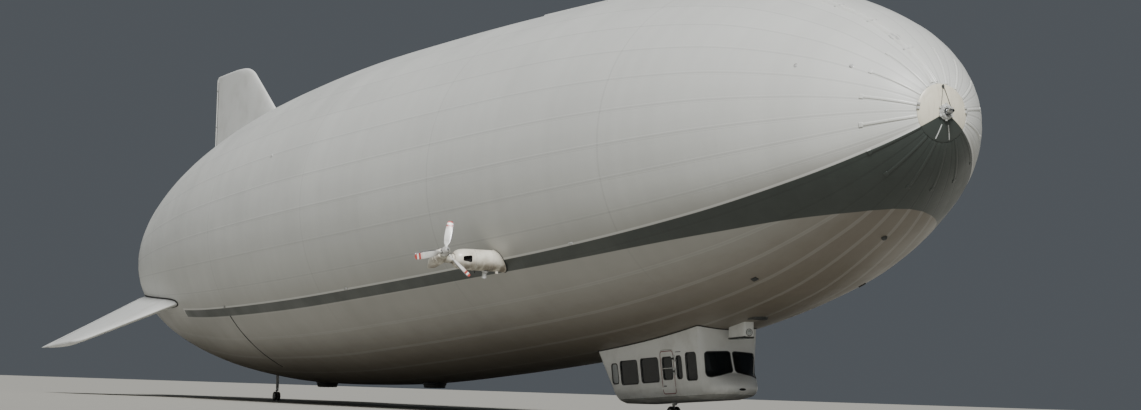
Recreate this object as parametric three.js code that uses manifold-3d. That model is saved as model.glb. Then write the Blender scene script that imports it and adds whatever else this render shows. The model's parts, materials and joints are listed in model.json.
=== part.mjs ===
// A semi-rigid passenger airship as a 1:2 scale model, standing nose-up on its two in-line landing gears.
//
// Every driving dimension is a full-size metre. MM turns it into model millimetres.
// The ship is drawn level: x forward, y to port, z up, with the hull's axis as the x axis.
// A station is the distance aft of the hull's nose. The last group pitches the ship onto its wheels.

import * as THREE from 'three';
import { mergeVertices } from 'three/addons/utils/BufferGeometryUtils.js';
import Module from 'manifold-3d';

const wasm = await Module();
wasm.setup();

// Scale, frame and clearances
const MM = 500;                       // model millimetres for one full-size metre, so 1:2
const LIFT_STATION = 36.0;            // the frame's origin: centre of lift, on the hull's axis
const GROUND_PITCH = 2.55 * Math.PI / 180;
const SEAT_GAP = 0.3 / MM;            // between two pieces that touch
const RUN_GAP = 6 / MM;               // between a moving piece and its neighbour

// Hull: columns are station and radius
const HULL = [
  [0, 0], [0.45, 1.33], [1.2, 2.17], [3.5, 3.66], [8, 5.2], [15, 6.25], [23, 6.72], [32, 7.0], [40, 7.08],
  [50, 6.68], [57, 5.94], [63, 4.87], [68, 3.5], [71, 2.15], [72.2, 1.3],
];
const ENVELOPE_WALL = 10 / MM;        // the skin is 10 mm thick on the model
const NOSE_RIM_STATION = 0.2;         // the nose cone covers the hull ahead of this station
const TAIL_STATION = 72.2;            // the stern cone closes the hull here
const NOSE_BOSS = { station: -0.02, radius: 0.25 };   // flat front of the nose cone
const PROBE_STATION = -0.42;          // front end of the mooring probe
const HULL_SEGMENTS = 40;
const HULL_STEPS = 24;

// Tail fins: the leading edge's columns are distance from the axis and station
const FIN_LEADING_EDGE = [[3.2, 52.2], [9.3, 60.55], [9.62, 61.2], [9.8, 62.0], [9.88, 63.2]];
const FIN_ANGLES = { top: 90, starboard: -152, port: -28 };
const HINGE_STATION = 66.1;
const SURFACE_CHORD = 1.4;
const FIN_HALF_THICKNESS = [0.26, 0.13];   // at 4 m and at 10 m from the axis
const HINGE_HALF_THICKNESS = [0.15, 0.075];
const SURFACE_SPAN = [4.35, 9.8];
const RUDDER_REST_DEG = 16;           // the rudder stands over to port

// Side engines
const NACELLE = { station: 19.9, z: -3.45, radius: 0.38, inboard: 5.2, outboard: 7.42 };
const THRUST = { y: 8.0, tiltDeg: 18, hubAhead: 0.62, bodyRadius: 0.25, tailBehind: 0.92 };
const PROPELLER_RADIUS = 1.24;
const PARKED_TURN_DEG = 17.5;         // how far the side propellers stand turned about their shafts
const BLADE_STEPS = 5;                // rings between two rows of a blade's table
const ENGINE_BLOCK = [0.54, 0.78, 0.38];

// Stern engine and its two propellers
const STERN = { pivotStation: 73.9, hubBehind: 0.86, rimRadius: 1.3, endStation: 73.5, endRadius: 0.36 };
const LATERAL = { station: 72.65, y: 2.0, radius: 1.0, strutRadius: 0.12 };
const HUB_REAR = 0.2;                 // from a propeller's centre back to its gearbox
const SHAFT_RADIUS = 0.05;
const EAR = { y: 0.28, half: 0.04, radius: 0.14 };    // the two ears that carry the rear swivel

// Gondola: columns are height, half width, station where the side starts to round, nose station
const GONDOLA = [
  [-5.7, 1.2, 13.3, 13.05],
  [-6.45, 1.17, 13.3, 12.98],
  [-7.55, 1.05, 13.2, 12.62],
  [-7.66, 1.035, 13.26, 12.42],
  [-7.88, 1.005, 13.3, 12.15],
  [-8.1, 0.975, 13.3, 12.06],
  [-8.33, 0.87, 13.35, 12.25],
  [-8.45, 0.62, 13.7, 12.8],
];
const GONDOLA_WALL = 0.05;
const GONDOLA_CORNER = 0.18;          // radius of the two rear corners
const GONDOLA_REAR = { top: 20.6, bottom: 19.5 };
const CEILING = -6.6;
const FLOOR_TOP = -8.33;
const PILLAR_STATION = 13.22;
// Side windows: columns are front station, rear station, bottom and top
const SIDE_WINDOWS = {
  cockpit: [13.38, 14.12, -7.8, -6.84],
  forward: [14.42, 14.8, -7.72, -6.92],
  second: [16.1, 17.4, -7.78, -6.92],
  third: [17.65, 18.95, -7.8, -6.95],
  rear: [19.15, 19.62, -7.75, -7.02],
};
const DOOR = { front: 14.95, rear: 15.95, bottom: -8.26, top: -6.68 };
const DOOR_WINDOW = [15.1, 15.8, -7.72, -6.93];

// Landing gear
const GONDOLA_GEAR = { station: 16.8, wheelRadius: 0.26, axleHeight: -8.86, track: 0.2, trail: 0.1 };
const TAIL_GEAR = { station: 56.5, wheelRadius: 0.22, track: 0.16, trail: 0.09 };
const AXLE_RADIUS = 0.035;
const AXLE_SEGMENTS = 16;

function paint(color, roughness, metalness = 0) {
  return new THREE.MeshStandardMaterial({ color, roughness, metalness });
}
const FINISH = {
  hull: paint('#c9ccca', 0.55),
  cream: paint('#dcd9cc', 0.5),
  fin: paint('#dfe0dd', 0.5),
  gondola: paint('#d6d8d6', 0.4),
  glass: paint('#20262a', 0.1),
  door: paint('#d0d2d0', 0.4),
  dark: paint('#2b2e2d', 0.6),
  engine: paint('#5a5d60', 0.5, 0.8),
  steel: paint('#8b8f92', 0.35, 1),
  blade: paint('#e6e5e1', 0.4),
  tyre: paint('#1c1c1c', 0.9),
  seat: paint('#3b4654', 0.9),
};

const ship = new THREE.Group();
const x = (station) => (LIFT_STATION - station) * MM;
const point = (station, y, z) => new THREE.Vector3(x(station), y * MM, z * MM);

function add(name, shape, material) {
  const geometry = shape instanceof wasm.Manifold ? toGeometry(shape) : shape;
  const mesh = new THREE.Mesh(geometry, material);
  mesh.name = name;
  ship.add(mesh);
  return mesh;
}

// Closed meshes in and out of solids
function toSolid(geometry) {
  const bare = geometry.clone();
  bare.deleteAttribute('normal');
  bare.deleteAttribute('uv');
  const merged = mergeVertices(bare, 1e-3);
  const p = merged.attributes.position;
  const corner = [new THREE.Vector3(), new THREE.Vector3(), new THREE.Vector3()];
  const triangles = [];
  let volume = 0;
  for (let i = 0; i < merged.index.count; i += 3) {
    const t = [0, 1, 2].map((k) => merged.index.getX(i + k));
    if (t[0] === t[1] || t[1] === t[2] || t[2] === t[0]) continue;
    t.forEach((v, k) => corner[k].fromBufferAttribute(p, v));
    volume += corner[0].dot(corner[1].clone().cross(corner[2]));
    triangles.push(t);
  }
  const outward = volume > 0 ? triangles : triangles.map(([a, b, c]) => [a, c, b]);
  return new wasm.Manifold(new wasm.Mesh({
    numProp: 3,
    vertProperties: new Float32Array(p.array),
    triVerts: new Uint32Array(outward.flat()),
  }));
}

function toGeometry(solid) {
  const { vertProperties, triVerts, numProp } = solid.getMesh();
  const positions = new Float32Array(vertProperties.length / numProp * 3);
  for (let i = 0; i < positions.length / 3; i++) {
    for (let k = 0; k < 3; k++) positions[3 * i + k] = vertProperties[numProp * i + k];
  }
  const geometry = new THREE.BufferGeometry();
  geometry.setAttribute('position', new THREE.BufferAttribute(positions, 3));
  geometry.setIndex(new THREE.BufferAttribute(new Uint32Array(triVerts), 1));
  geometry.computeVertexNormals();
  return geometry;
}

// Hull radius: a cubic through the table in radius squared, which makes a blunt nose
function hullRadius(station) {
  const last = HULL.length - 1;
  const s = THREE.MathUtils.clamp(station, 0, HULL[last][0]);
  let k = 0;
  while (k < last - 1 && s > HULL[k + 1][0]) k++;
  const square = (i) => HULL[i][1] ** 2;
  const slope = (i) => {
    const a = Math.max(i - 1, 0);
    const b = Math.min(i + 1, last);
    return (square(b) - square(a)) / (HULL[b][0] - HULL[a][0]);
  };
  const length = HULL[k + 1][0] - HULL[k][0];
  const t = (s - HULL[k][0]) / length;
  const cubic = square(k) * (1 + 2 * t) * (1 - t) ** 2 + length * slope(k) * t * (1 - t) ** 2
    + square(k + 1) * t * t * (3 - 2 * t) - length * slope(k + 1) * t * t * (1 - t);
  return Math.sqrt(Math.max(cubic, 0));
}

// Stations bunch towards the nose and the tail, where the hull curves most
function hullStations(count, from, to) {
  const list = [];
  for (let i = 0; i <= count; i++) list.push(from + (to - from) * (1 - Math.cos(Math.PI * i / count)) / 2);
  return list;
}

// A profile of [station, radius] pairs turned about a line along x, y or z through a point
function revolve(profile, segments, centre = [0, 0, 0], axis = 'x') {
  const points = profile.map(([along, radius]) => new THREE.Vector2(radius * MM, along * MM));
  const geometry = new THREE.LatheGeometry(points, segments);
  if (axis === 'x') geometry.rotateZ(-Math.PI / 2);
  if (axis === 'z') geometry.rotateX(Math.PI / 2);
  geometry.translate(...centre.map((c) => c * MM));
  return toSolid(geometry);
}
const hullTurned = (pairs, segments) => revolve(pairs.map(([s, r]) => [LIFT_STATION - s, r]), segments);

// Rings of equal length, joined one to the next, with flat ends
function loft(rings) {
  const n = rings[0].length;
  const positions = rings.flat().flatMap((p) => [p.x, p.y, p.z]);
  const index = [];
  for (let k = 0; k < rings.length - 1; k++) {
    for (let i = 0; i < n; i++) {
      const a = k * n + i;
      const b = k * n + (i + 1) % n;
      index.push(a, b, b + n, a, b + n, a + n);
    }
  }
  for (const [ring, turn] of [[0, false], [rings.length - 1, true]]) {
    for (let i = 1; i < n - 1; i++) {
      const t = [ring * n, ring * n + i + 1, ring * n + i];
      index.push(...(turn ? [t[0], t[2], t[1]] : t));
    }
  }
  const geometry = new THREE.BufferGeometry();
  geometry.setAttribute('position', new THREE.Float32BufferAttribute(positions, 3));
  geometry.setIndex(index);
  return toSolid(geometry);
}

function box(lowStation, highStation, lowY, highY, lowZ, highZ) {
  const sides = [highStation - lowStation, highY - lowY, highZ - lowZ].map((side) => side * MM);
  const geometry = new THREE.BoxGeometry(...sides);
  const middle = point((lowStation + highStation) / 2, (lowY + highY) / 2, (lowZ + highZ) / 2);
  geometry.translate(middle.x, middle.y, middle.z);
  return toSolid(geometry);
}

function cylinder(radius, from, to, segments = 16) {
  const line = new THREE.Vector3().subVectors(to, from);
  const geometry = new THREE.CylinderGeometry(radius * MM, radius * MM, line.length(), segments);
  const up = new THREE.Vector3(0, 1, 0);
  geometry.applyQuaternion(new THREE.Quaternion().setFromUnitVectors(up, line.clone().normalize()));
  const middle = from.clone().add(to).multiplyScalar(0.5);
  geometry.translate(middle.x, middle.y, middle.z);
  return toSolid(geometry);
}

const join = (...solids) => solids.reduce((a, b) => a.add(b));
const mirrorY = (solid) => solid.mirror([0, 1, 0]);

// Envelope: a thin shell, open at the nose and at the tail, where other pieces close it
function envelope() {
  const stations = hullStations(HULL_STEPS, NOSE_RIM_STATION, TAIL_STATION);
  const outer = stations.map((s) => [s, hullRadius(s)]);
  const inner = stations.map((s) => [s, hullRadius(s) - ENVELOPE_WALL]);
  return hullTurned([...outer, ...inner.reverse(), outer[0]], HULL_SEGMENTS);
}

// What the envelope leaves for its neighbours: the same facets, one seat gap further out
function hullCutter() {
  const stations = hullStations(HULL_STEPS, NOSE_RIM_STATION, TAIL_STATION);
  const skin = stations.map((s) => [s, hullRadius(s) + 1.5 * SEAT_GAP]);
  return hullTurned([[NOSE_RIM_STATION, 0], ...skin, [TAIL_STATION, 0]], HULL_SEGMENTS);
}
const cutter = hullCutter();

function noseCone() {
  const rim = NOSE_RIM_STATION - SEAT_GAP;
  const skin = [0.04, 0.1, rim].map((s) => [s, hullRadius(s)]);
  const { station, radius } = NOSE_BOSS;
  return hullTurned([[station, 0], [station, radius], ...skin, [rim, 0]], HULL_SEGMENTS);
}

function mooringRing() {
  const face = NOSE_BOSS.station - 0.1;
  const seat = NOSE_BOSS.station - SEAT_GAP;
  return hullTurned([[seat, 0.12], [face, 0.12], [face, 0.2], [seat, 0.24], [seat, 0.12]], 24);
}

function mooringProbe() {
  const seat = NOSE_BOSS.station - SEAT_GAP;
  return hullTurned([[seat, 0], [seat, 0.09], [-0.3, 0.09], [PROBE_STATION, 0.05], [PROBE_STATION, 0]], 16);
}

// Tail fins and their control surfaces, drawn upright and then turned about the hull's axis
const along = (table, r) => table[0] + (table[1] - table[0]) * THREE.MathUtils.clamp((r - 4) / 6, 0, 1);

function finRing(r) {
  const k = FIN_LEADING_EDGE.findIndex(([edge]) => edge >= r);
  const [r0, s0] = FIN_LEADING_EDGE[Math.max(k - 1, 0)];
  const [r1, s1] = FIN_LEADING_EDGE[Math.max(k, 1)];
  const front = s0 + (s1 - s0) * (r - r0) / (r1 - r0);
  const half = along(FIN_HALF_THICKNESS, r);
  const rearHalf = along(HINGE_HALF_THICKNESS, r);
  const rear = HINGE_STATION - rearHalf - RUN_GAP;
  // Columns: share of the chord and half thickness there
  const side = [[0.015, half * 0.35], [0.08, half * 0.72], [0.25, half], [0.6, half * 0.95], [1, rearHalf]];
  const upper = side.map(([u, h]) => point(front + u * (rear - front), h, r));
  const lower = side.slice().reverse().map(([u, h]) => point(front + u * (rear - front), -h, r));
  return [point(front, 0, r), ...upper, ...lower];
}

const HINGE_LUGS = [5.2, 7.2, 9.1];
const LUG_HALF = 0.04;
const LUG_RADIUS = 0.035;
const LUG_REACH = 0.3;                // how far a lug starts ahead of the hinge line

function fin() {
  const spans = [3.2, 6.2, 9.3, 9.62, 9.8, 9.88];
  let body = loft(spans.map(finRing));
  for (const r of HINGE_LUGS) {
    const [low, high] = [r - LUG_HALF, r + LUG_HALF];
    const plate = box(HINGE_STATION - LUG_REACH, HINGE_STATION, -LUG_RADIUS, LUG_RADIUS, low, high);
    const eye = cylinder(LUG_RADIUS, point(HINGE_STATION, 0, low), point(HINGE_STATION, 0, high), 12);
    body = join(body, plate, eye);
  }
  return body;
}

function controlSurface() {
  const [low, high] = SURFACE_SPAN;
  const rings = [low, 7, high - 0.12, high].map((r) => {
    const nose = along(HINGE_HALF_THICKNESS, r);
    const ring = [];
    for (let i = 0; i <= 6; i++) {
      const a = Math.PI / 2 + Math.PI * i / 6;
      ring.push(point(HINGE_STATION + nose * Math.cos(a), nose * Math.sin(a), r));
    }
    const edge = HINGE_STATION + SURFACE_CHORD;
    ring.push(point(edge, -0.012, r), point(edge, 0.012, r));
    return ring;
  });
  let body = loft(rings);
  for (const r of HINGE_LUGS) {
    const half = LUG_HALF + SEAT_GAP;
    const [front, rear] = [HINGE_STATION - LUG_REACH, HINGE_STATION + 0.06];
    body = body.subtract(box(front, rear, -0.2, 0.2, r - half, r + half));
  }
  return body;
}

// One turn about the hull's axis takes an upright piece to its fin's angle
function turnedTo(angleDeg, solid) {
  return solid.rotate([angleDeg - 90, 0, 0]);
}

// Side engines, drawn on the starboard side
function nacelle() {
  const { station, z, radius, inboard, outboard } = NACELLE;
  const wall = 0.03;
  const shoulder = -outboard + 0.55;
  const outer = [
    [-inboard, radius],
    [shoulder, radius],
    [-outboard + 0.2, radius * 0.93],
    [-outboard, radius * 0.66],
  ];
  const inner = [[-inboard, radius - wall], [shoulder, radius - wall], [-outboard + 0.1, radius * 0.6]];
  const profile = [...outer, [-outboard, 0], [-outboard + 0.1, 0], ...inner.reverse(), outer[0]];
  const shell = revolve(profile, 20, [LIFT_STATION - station, 0, z], 'y').subtract(cutter);
  const intake = box(station - 0.6, station - 0.1, -outboard + 0.25, -outboard + 0.6, z - 0.12, z + 0.14);
  return shell.subtract(intake);
}

function engineBlock() {
  const { station, z, outboard } = NACELLE;
  const [length, width, height] = ENGINE_BLOCK;
  const far = -outboard + 0.1 + SEAT_GAP;
  const near = far + 0.5;
  const [front, rear] = [station - length / 2, station + length / 2];
  const block = box(front, rear, near, near + width, z - height / 2, z + height / 2);
  return join(block, cylinder(0.12, point(station, far, z), point(station, near + 0.1, z)));
}

function exhaust() {
  const { station, z, radius, inboard } = NACELLE;
  const y = -inboard - 0.95;
  const top = z - radius - SEAT_GAP * 2;
  return cylinder(0.09, point(station, y, top + 0.1), point(station + 0.12, y, top - 0.26))
    .subtract(cylinder(0.07, point(station + 0.06, y, top - 0.14), point(station + 0.13, y, top - 0.28)))
    .subtract(cylinder(radius + SEAT_GAP, point(station, y - 1, z), point(station, y + 1, z), 20));
}

// A propeller's shaft, from a gearbox's face up to the hub, as the start of the gearbox's profile
const shaftEnd = (face) => {
  const end = face + RUN_GAP - SEAT_GAP;
  return [[end, 0], [end, SHAFT_RADIUS], [face, SHAFT_RADIUS]];
};

// The body behind a propeller, drawn with its thrust line along x and its tilt axis at the origin
function thrustBody(hubAhead, tailBehind, radius) {
  const disc = hubAhead - HUB_REAR;
  return revolve([...shaftEnd(disc), [disc, radius * 0.8], [disc - 0.25, radius], [0, radius],
    [-tailBehind * 0.55, radius * 0.75], [-tailBehind, radius * 0.18], [-tailBehind, 0]], 16);
}

// The rows of a table with more put evenly between them, which keeps a twisted thin skin from crossing itself
function finer(rows, steps) {
  return rows.flatMap((row, k) => {
    const next = rows[k + 1];
    if (!next) return [row];
    return Array.from({ length: steps }, (_, i) => row.map((v, column) => v + (next[column] - v) * i / steps));
  });
}

// A three-bladed propeller with its shaft pointing along x, its hub at the origin
function propeller(radius) {
  const rear = -HUB_REAR + RUN_GAP;
  const hub = revolve([[rear, 0], [rear, 0.13], [-0.1, 0.16], [0.08, 0.16], [0.2, 0.1], [0.25, 0]], 14);
  // Columns: share of the radius, chord and blade angle in degrees
  const stations = [[0.08, 0.16, 60], [0.22, 0.2, 48], [0.5, 0.27, 32], [0.94, 0.24, 20], [1, 0.15, 18]];
  // Columns: place along the chord and thickness, both as shares of the chord
  const section = [[-0.5, 0], [-0.25, 0.055], [0.1, 0.065], [0.5, 0], [0.1, -0.03], [-0.25, -0.02]];
  const blade = loft(finer(stations, BLADE_STEPS).map(([share, chord, angle]) => {
    const turn = THREE.MathUtils.degToRad(angle);
    return section.map(([c, t]) => {
      const across = c * chord;
      const thick = t * chord;
      return new THREE.Vector3(
        (across * Math.sin(turn) + thick * Math.cos(turn)) * MM,
        (across * Math.cos(turn) - thick * Math.sin(turn)) * MM,
        share * radius * MM,
      );
    });
  }));
  return join(hub, ...[0, 120, 240].map((a) => blade.rotate([a, 0, 0])));
}

function swivel() {
  const reach = THRUST.y - NACELLE.outboard - SEAT_GAP;
  const neck = cylinder(0.16, new THREE.Vector3(0, reach * MM, 0), new THREE.Vector3(0, 0, 0));
  return join(thrustBody(THRUST.hubAhead, THRUST.tailBehind, THRUST.bodyRadius), neck);
}

// Stern: a cone that closes the hull, with the engine inside and two ears that carry the swivel
function sternCone() {
  const { pivotStation, endStation, endRadius, rimRadius } = STERN;
  const start = TAIL_STATION + SEAT_GAP;
  const wall = 0.06;
  const outer = [[start, rimRadius], [start + 0.25, 0.82], [start + 0.6, 0.54], [endStation, endRadius]];
  const inner = outer.slice(0, -1).map(([s, r]) => [s, r - wall]);
  inner.push([endStation - wall, endRadius - wall], [endStation - wall, 0]);
  const cone = hullTurned([...outer, [endStation, 0], ...inner.reverse(), outer[0]], 24);
  const ears = [-1, 1].map((side) => {
    const [low, high] = [side * EAR.y - EAR.half, side * EAR.y + EAR.half];
    const plate = box(endStation - 0.1, pivotStation, low, high, -EAR.radius, EAR.radius);
    return join(plate, cylinder(EAR.radius, point(pivotStation, low, 0), point(pivotStation, high, 0)));
  });
  const arm = revolve([[0.3, 0], [0.3, LATERAL.strutRadius], [LATERAL.y - HUB_REAR, LATERAL.strutRadius],
    ...shaftEnd(LATERAL.y - HUB_REAR).reverse()], 16, [LIFT_STATION - LATERAL.station, 0, 0], 'y');
  const hollow = hullTurned([[start, 0], ...outer.map(([s, r]) => [s, r - wall / 2]), [endStation, 0]], 24);
  return join(cone, ...ears, arm.subtract(hollow));
}

function sternEngine() {
  const [length, width, height] = ENGINE_BLOCK;
  const rear = STERN.endStation - 0.06 - SEAT_GAP;
  const front = TAIL_STATION - 0.35;
  return join(
    box(front - length, front, -width / 2, width / 2, -height / 2, height / 2),
    cylinder(0.1, point(front - 0.02, 0, 0), point(rear, 0, 0)),
  );
}

// The rear swivel, drawn with its thrust line along x and its tilt axis at the origin
function rearSwivel() {
  const face = STERN.hubBehind - HUB_REAR;
  const housing = [[face, 0.16], [face - 0.1, 0.2], [0, 0.2], [-0.2, 0.14], [-0.2, 0]];
  const body = revolve([...shaftEnd(face), ...housing], 16);
  const reach = EAR.y - EAR.half - SEAT_GAP;
  const pin = cylinder(0.1, new THREE.Vector3(0, -reach * MM, 0), new THREE.Vector3(0, reach * MM, 0));
  return join(body, pin);
}

// Gondola: horizontal outlines, one above the other
function gondolaRing([z, half, sideStation, noseStation], inset) {
  const share = (z - FLOOR_TOP) / (CEILING - FLOOR_TOP);
  const rear = GONDOLA_REAR.bottom + (GONDOLA_REAR.top - GONDOLA_REAR.bottom) * share - inset;
  const width = half - inset;
  const nose = noseStation + inset;
  const corner = GONDOLA_CORNER;
  const starboard = [];
  for (let i = 0; i <= 2; i++) {
    const a = Math.PI / 2 * i / 2;
    starboard.push([rear - corner * (1 - Math.cos(a)), -(width - corner + corner * Math.sin(a))]);
  }
  const steps = 6;
  for (let i = 0; i < steps; i++) {
    const a = Math.PI / 2 * i / steps;
    starboard.push([sideStation - (sideStation - nose) * Math.sin(a) ** 0.8, -width * Math.cos(a) ** 0.8]);
  }
  const port = starboard.slice().reverse().map(([s, y]) => [s, -y]);
  return [...starboard, [nose, 0], ...port].map(([s, y]) => point(s, y, z));
}

function gondolaBody(inset, bottomLift = 0) {
  const rows = GONDOLA.map(([z, ...rest]) => [z < FLOOR_TOP + 0.1 ? z + bottomLift : z, ...rest]);
  return loft(rows.map((row) => gondolaRing(row, inset)));
}

const slab = (low, high) => box(8, 24, -3, 3, low, high);

// A rounded rectangle in the xz plane, run right through the ship along y
function windowPrism([front, rear, bottom, top], grow = 0, radius = 0.12) {
  const shape = new THREE.Shape();
  const [x0, x1] = [x(rear) - grow * MM, x(front) + grow * MM];
  const [z0, z1] = [(bottom - grow) * MM, (top + grow) * MM];
  const r = radius * MM;
  shape.absarc(x1 - r, z1 - r, r, 0, Math.PI / 2);
  shape.absarc(x0 + r, z1 - r, r, Math.PI / 2, Math.PI);
  shape.absarc(x0 + r, z0 + r, r, Math.PI, Math.PI * 1.5);
  shape.absarc(x1 - r, z0 + r, r, Math.PI * 1.5, Math.PI * 2);
  const width = 6 * MM;
  const geometry = new THREE.ExtrudeGeometry(shape, { depth: width, bevelEnabled: false, curveSegments: 3 });
  geometry.rotateX(Math.PI / 2);
  geometry.translate(0, width / 2, 0);
  return toSolid(geometry);
}

// The windscreen's two halves in the yz plane, run along x; its lower edge rises over the nose
function windscreenPrism(grow = 0, joined = false) {
  const halves = [-1, 1].map((side) => {
    const inner = joined ? 0 : 0.05 - grow;
    const corners = [
      [inner, -6.8 + grow],
      [0.99 + grow, -6.84 + grow],
      [0.97 + grow, -7.74 - grow],
      [0.5, -7.6 - grow],
      [inner, -7.52 - grow],
    ];
    const shape = new THREE.Shape(corners.map(([y, z]) => new THREE.Vector2(side * y * MM, z * MM)));
    const geometry = new THREE.ExtrudeGeometry(shape, { depth: 1.6 * MM, bevelEnabled: false });
    geometry.rotateX(Math.PI / 2);
    geometry.rotateZ(Math.PI / 2);
    geometry.translate(x(PILLAR_STATION - 0.02), 0, 0);
    return toSolid(geometry);
  });
  return join(...halves);
}

const outerGondola = gondolaBody(0).subtract(cutter);
const innerGondola = gondolaBody(GONDOLA_WALL, GONDOLA_WALL);
const shell = outerGondola.subtract(innerGondola);

function slantedRear(inset) {
  return loft([-5.5, -8.8].map((z) => {
    const share = (z - FLOOR_TOP) / (CEILING - FLOOR_TOP);
    const s = GONDOLA_REAR.bottom + (GONDOLA_REAR.top - GONDOLA_REAR.bottom) * share - inset;
    return [point(s, -3, z), point(s, 3, z), point(s + 4, 3, z), point(s + 4, -3, z)];
  }));
}

const doorSpan = [DOOR.front, DOOR.rear, DOOR.bottom, DOOR.top];
const starboardHalf = box(8, 24, -3, -0.3, -9, -5);
const HINGE_OUT = 0.03;
const doorEdge = (z) => {
  const above = GONDOLA.findIndex((row) => row[0] < z);
  const [z0, h0] = GONDOLA[above - 1];
  const [z1, h1] = GONDOLA[above];
  return h0 + (h1 - h0) * (z - z0) / (z1 - z0);
};
const doorHinge = (z) => point(DOOR.front - RUN_GAP / 2, -(doorEdge(z) + HINGE_OUT), z);
const HINGE_HEIGHTS = [-7.0, -7.45];
const footDepth = (z) => [-doorEdge(z) - HINGE_OUT - 0.012, -doorEdge(z) + 0.015];

function knuckle(z, low, high) {
  const at = doorHinge(z);
  const line = doorHinge(-6.9).sub(doorHinge(-7.5)).normalize();
  const [start, end] = [low, high].map((along) => at.clone().addScaledVector(line, along * MM));
  return cylinder(0.024, start, end, 12);
}

function sideWall() {
  let wall = shell.intersect(starboardHalf).intersect(slab(FLOOR_TOP + SEAT_GAP, -5));
  wall = wall.subtract(slantedRear(0.2)).subtract(box(8, PILLAR_STATION, -3, 3, -9, -5));
  for (const span of Object.values(SIDE_WINDOWS)) wall = wall.subtract(windowPrism(span));
  wall = wall.subtract(windowPrism(doorSpan, RUN_GAP, 0.16));
  for (const z of HINGE_HEIGHTS) {
    const tabs = [[-0.12, -0.04], [0.04, 0.12]].map(([low, high]) => knuckle(z, low, high));
    const [outside, inside] = footDepth(z);
    const feet = [[-0.12, -0.05], [0.05, 0.12]].map(([low, high]) => box(
      DOOR.front - 0.09, DOOR.front - RUN_GAP - 0.002, outside, inside, z + low, z + high,
    ));
    wall = join(wall, ...tabs, ...feet);
  }
  return wall;
}

function door() {
  let panel = shell.intersect(starboardHalf).intersect(windowPrism(doorSpan, 0, 0.16));
  panel = panel.subtract(windowPrism(DOOR_WINDOW));
  for (const z of HINGE_HEIGHTS) {
    const half = 0.04 - SEAT_GAP;
    const foot = box(DOOR.front + 0.002, DOOR.front + 0.09, ...footDepth(z), z - 0.03, z + 0.03);
    panel = join(panel, knuckle(z, -half, half), foot);
  }
  return panel;
}

// A sheet just inside the wall
function glazing(region) {
  const near = gondolaBody(GONDOLA_WALL + SEAT_GAP, GONDOLA_WALL + SEAT_GAP);
  const far = gondolaBody(GONDOLA_WALL + 8 / MM, GONDOLA_WALL + 8 / MM);
  return near.subtract(far).intersect(region);
}

function seats(rows, rail) {
  const seat = FLOOR_TOP + SEAT_GAP;
  const pieces = [-0.4, 0.34].map((y) => box(rail[0], rail[1], y, y + 0.06, seat, FLOOR_TOP + 0.05));
  for (const s of rows) {
    for (const side of [-1, 1]) {
      const [low, high] = side < 0 ? [-0.72, -0.28] : [0.28, 0.72];
      const post = side * 0.37;
      pieces.push(box(s - 0.22, s + 0.22, low, high, FLOOR_TOP + 0.3, FLOOR_TOP + 0.42));
      pieces.push(box(s + 0.16, s + 0.26, low, high, FLOOR_TOP + 0.36, FLOOR_TOP + 0.98));
      pieces.push(box(s - 0.06, s + 0.06, post - 0.05, post + 0.05, FLOOR_TOP + 0.02, FLOOR_TOP + 0.34));
    }
    pieces.push(box(s - 0.05, s + 0.05, -0.4, 0.4, seat, FLOOR_TOP + 0.04));
  }
  return join(...pieces);
}

// Landing gear: leg, castoring fork and twin wheels with their axle
function wheelHeight(gear) {
  const aft = gear.station - GONDOLA_GEAR.station;
  const larger = gear.wheelRadius - GONDOLA_GEAR.wheelRadius;
  return GONDOLA_GEAR.axleHeight + aft * Math.tan(GROUND_PITCH) + larger / Math.cos(GROUND_PITCH);
}

function gearPieces(gear, top, legRadius) {
  const { station, wheelRadius, track, trail } = gear;
  const z = wheelHeight(gear);
  const yoke = z + wheelRadius + 0.06;
  const leg = cylinder(legRadius, point(station, 0, top), point(station, 0, yoke + 0.06 + SEAT_GAP));
  const collar = cylinder(legRadius * 0.9, point(station, 0, yoke + 0.06), point(station, 0, yoke - 0.01));
  const arm = box(station - 0.05, station + trail + 0.05, -0.045, 0.045, yoke - 0.03, yoke + 0.03);
  const stem = box(station + trail - 0.05, station + trail + 0.05, -0.03, 0.03, z - 0.05, yoke);
  // The bore's flats, not its corners, clear the axle's corners as it turns
  const boreRadius = (AXLE_RADIUS + SEAT_GAP) / Math.cos(Math.PI / AXLE_SEGMENTS);
  const axleLine = (reach) => [point(station + trail, -reach, z), point(station + trail, reach, z)];
  const bore = cylinder(boreRadius, ...axleLine(0.3), AXLE_SEGMENTS);
  const fork = join(collar, arm, stem).subtract(bore);
  const half = track / 2;
  const width = track * 0.55;
  // Columns: share of the tyre's width and of the wheel's radius
  const tread = [[0.5, 0], [0.5, 0.62], [0.42, 0.93], [0.2, 1]];
  const outline = tread.map(([w, r]) => [-w * width, r * wheelRadius]);
  const profile = [...outline, ...outline.slice().reverse().map(([y, r]) => [-y, r])];
  const tyre = (side) => {
    const centre = [LIFT_STATION - station - trail, side * (half + width * 0.15), z];
    return revolve(profile, 20, centre, 'y');
  };
  const axle = cylinder(AXLE_RADIUS, ...axleLine(half), AXLE_SEGMENTS);
  return { leg, fork, wheels: join(tyre(-1), tyre(1), axle) };
}

// A flat round fitting on the hull's belly
function bellyFitting(station, radius, drop) {
  const skin = -hullRadius(station);
  return cylinder(radius, point(station, 0, skin + 0.3), point(station, 0, skin - drop), 20).subtract(cutter);
}

// Assembly
add('envelope', envelope(), FINISH.hull);
add('nose_cone', noseCone(), FINISH.cream);
add('mooring_ring', mooringRing(), FINISH.fin);
add('mooring_probe', mooringProbe(), FINISH.steel);

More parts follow.
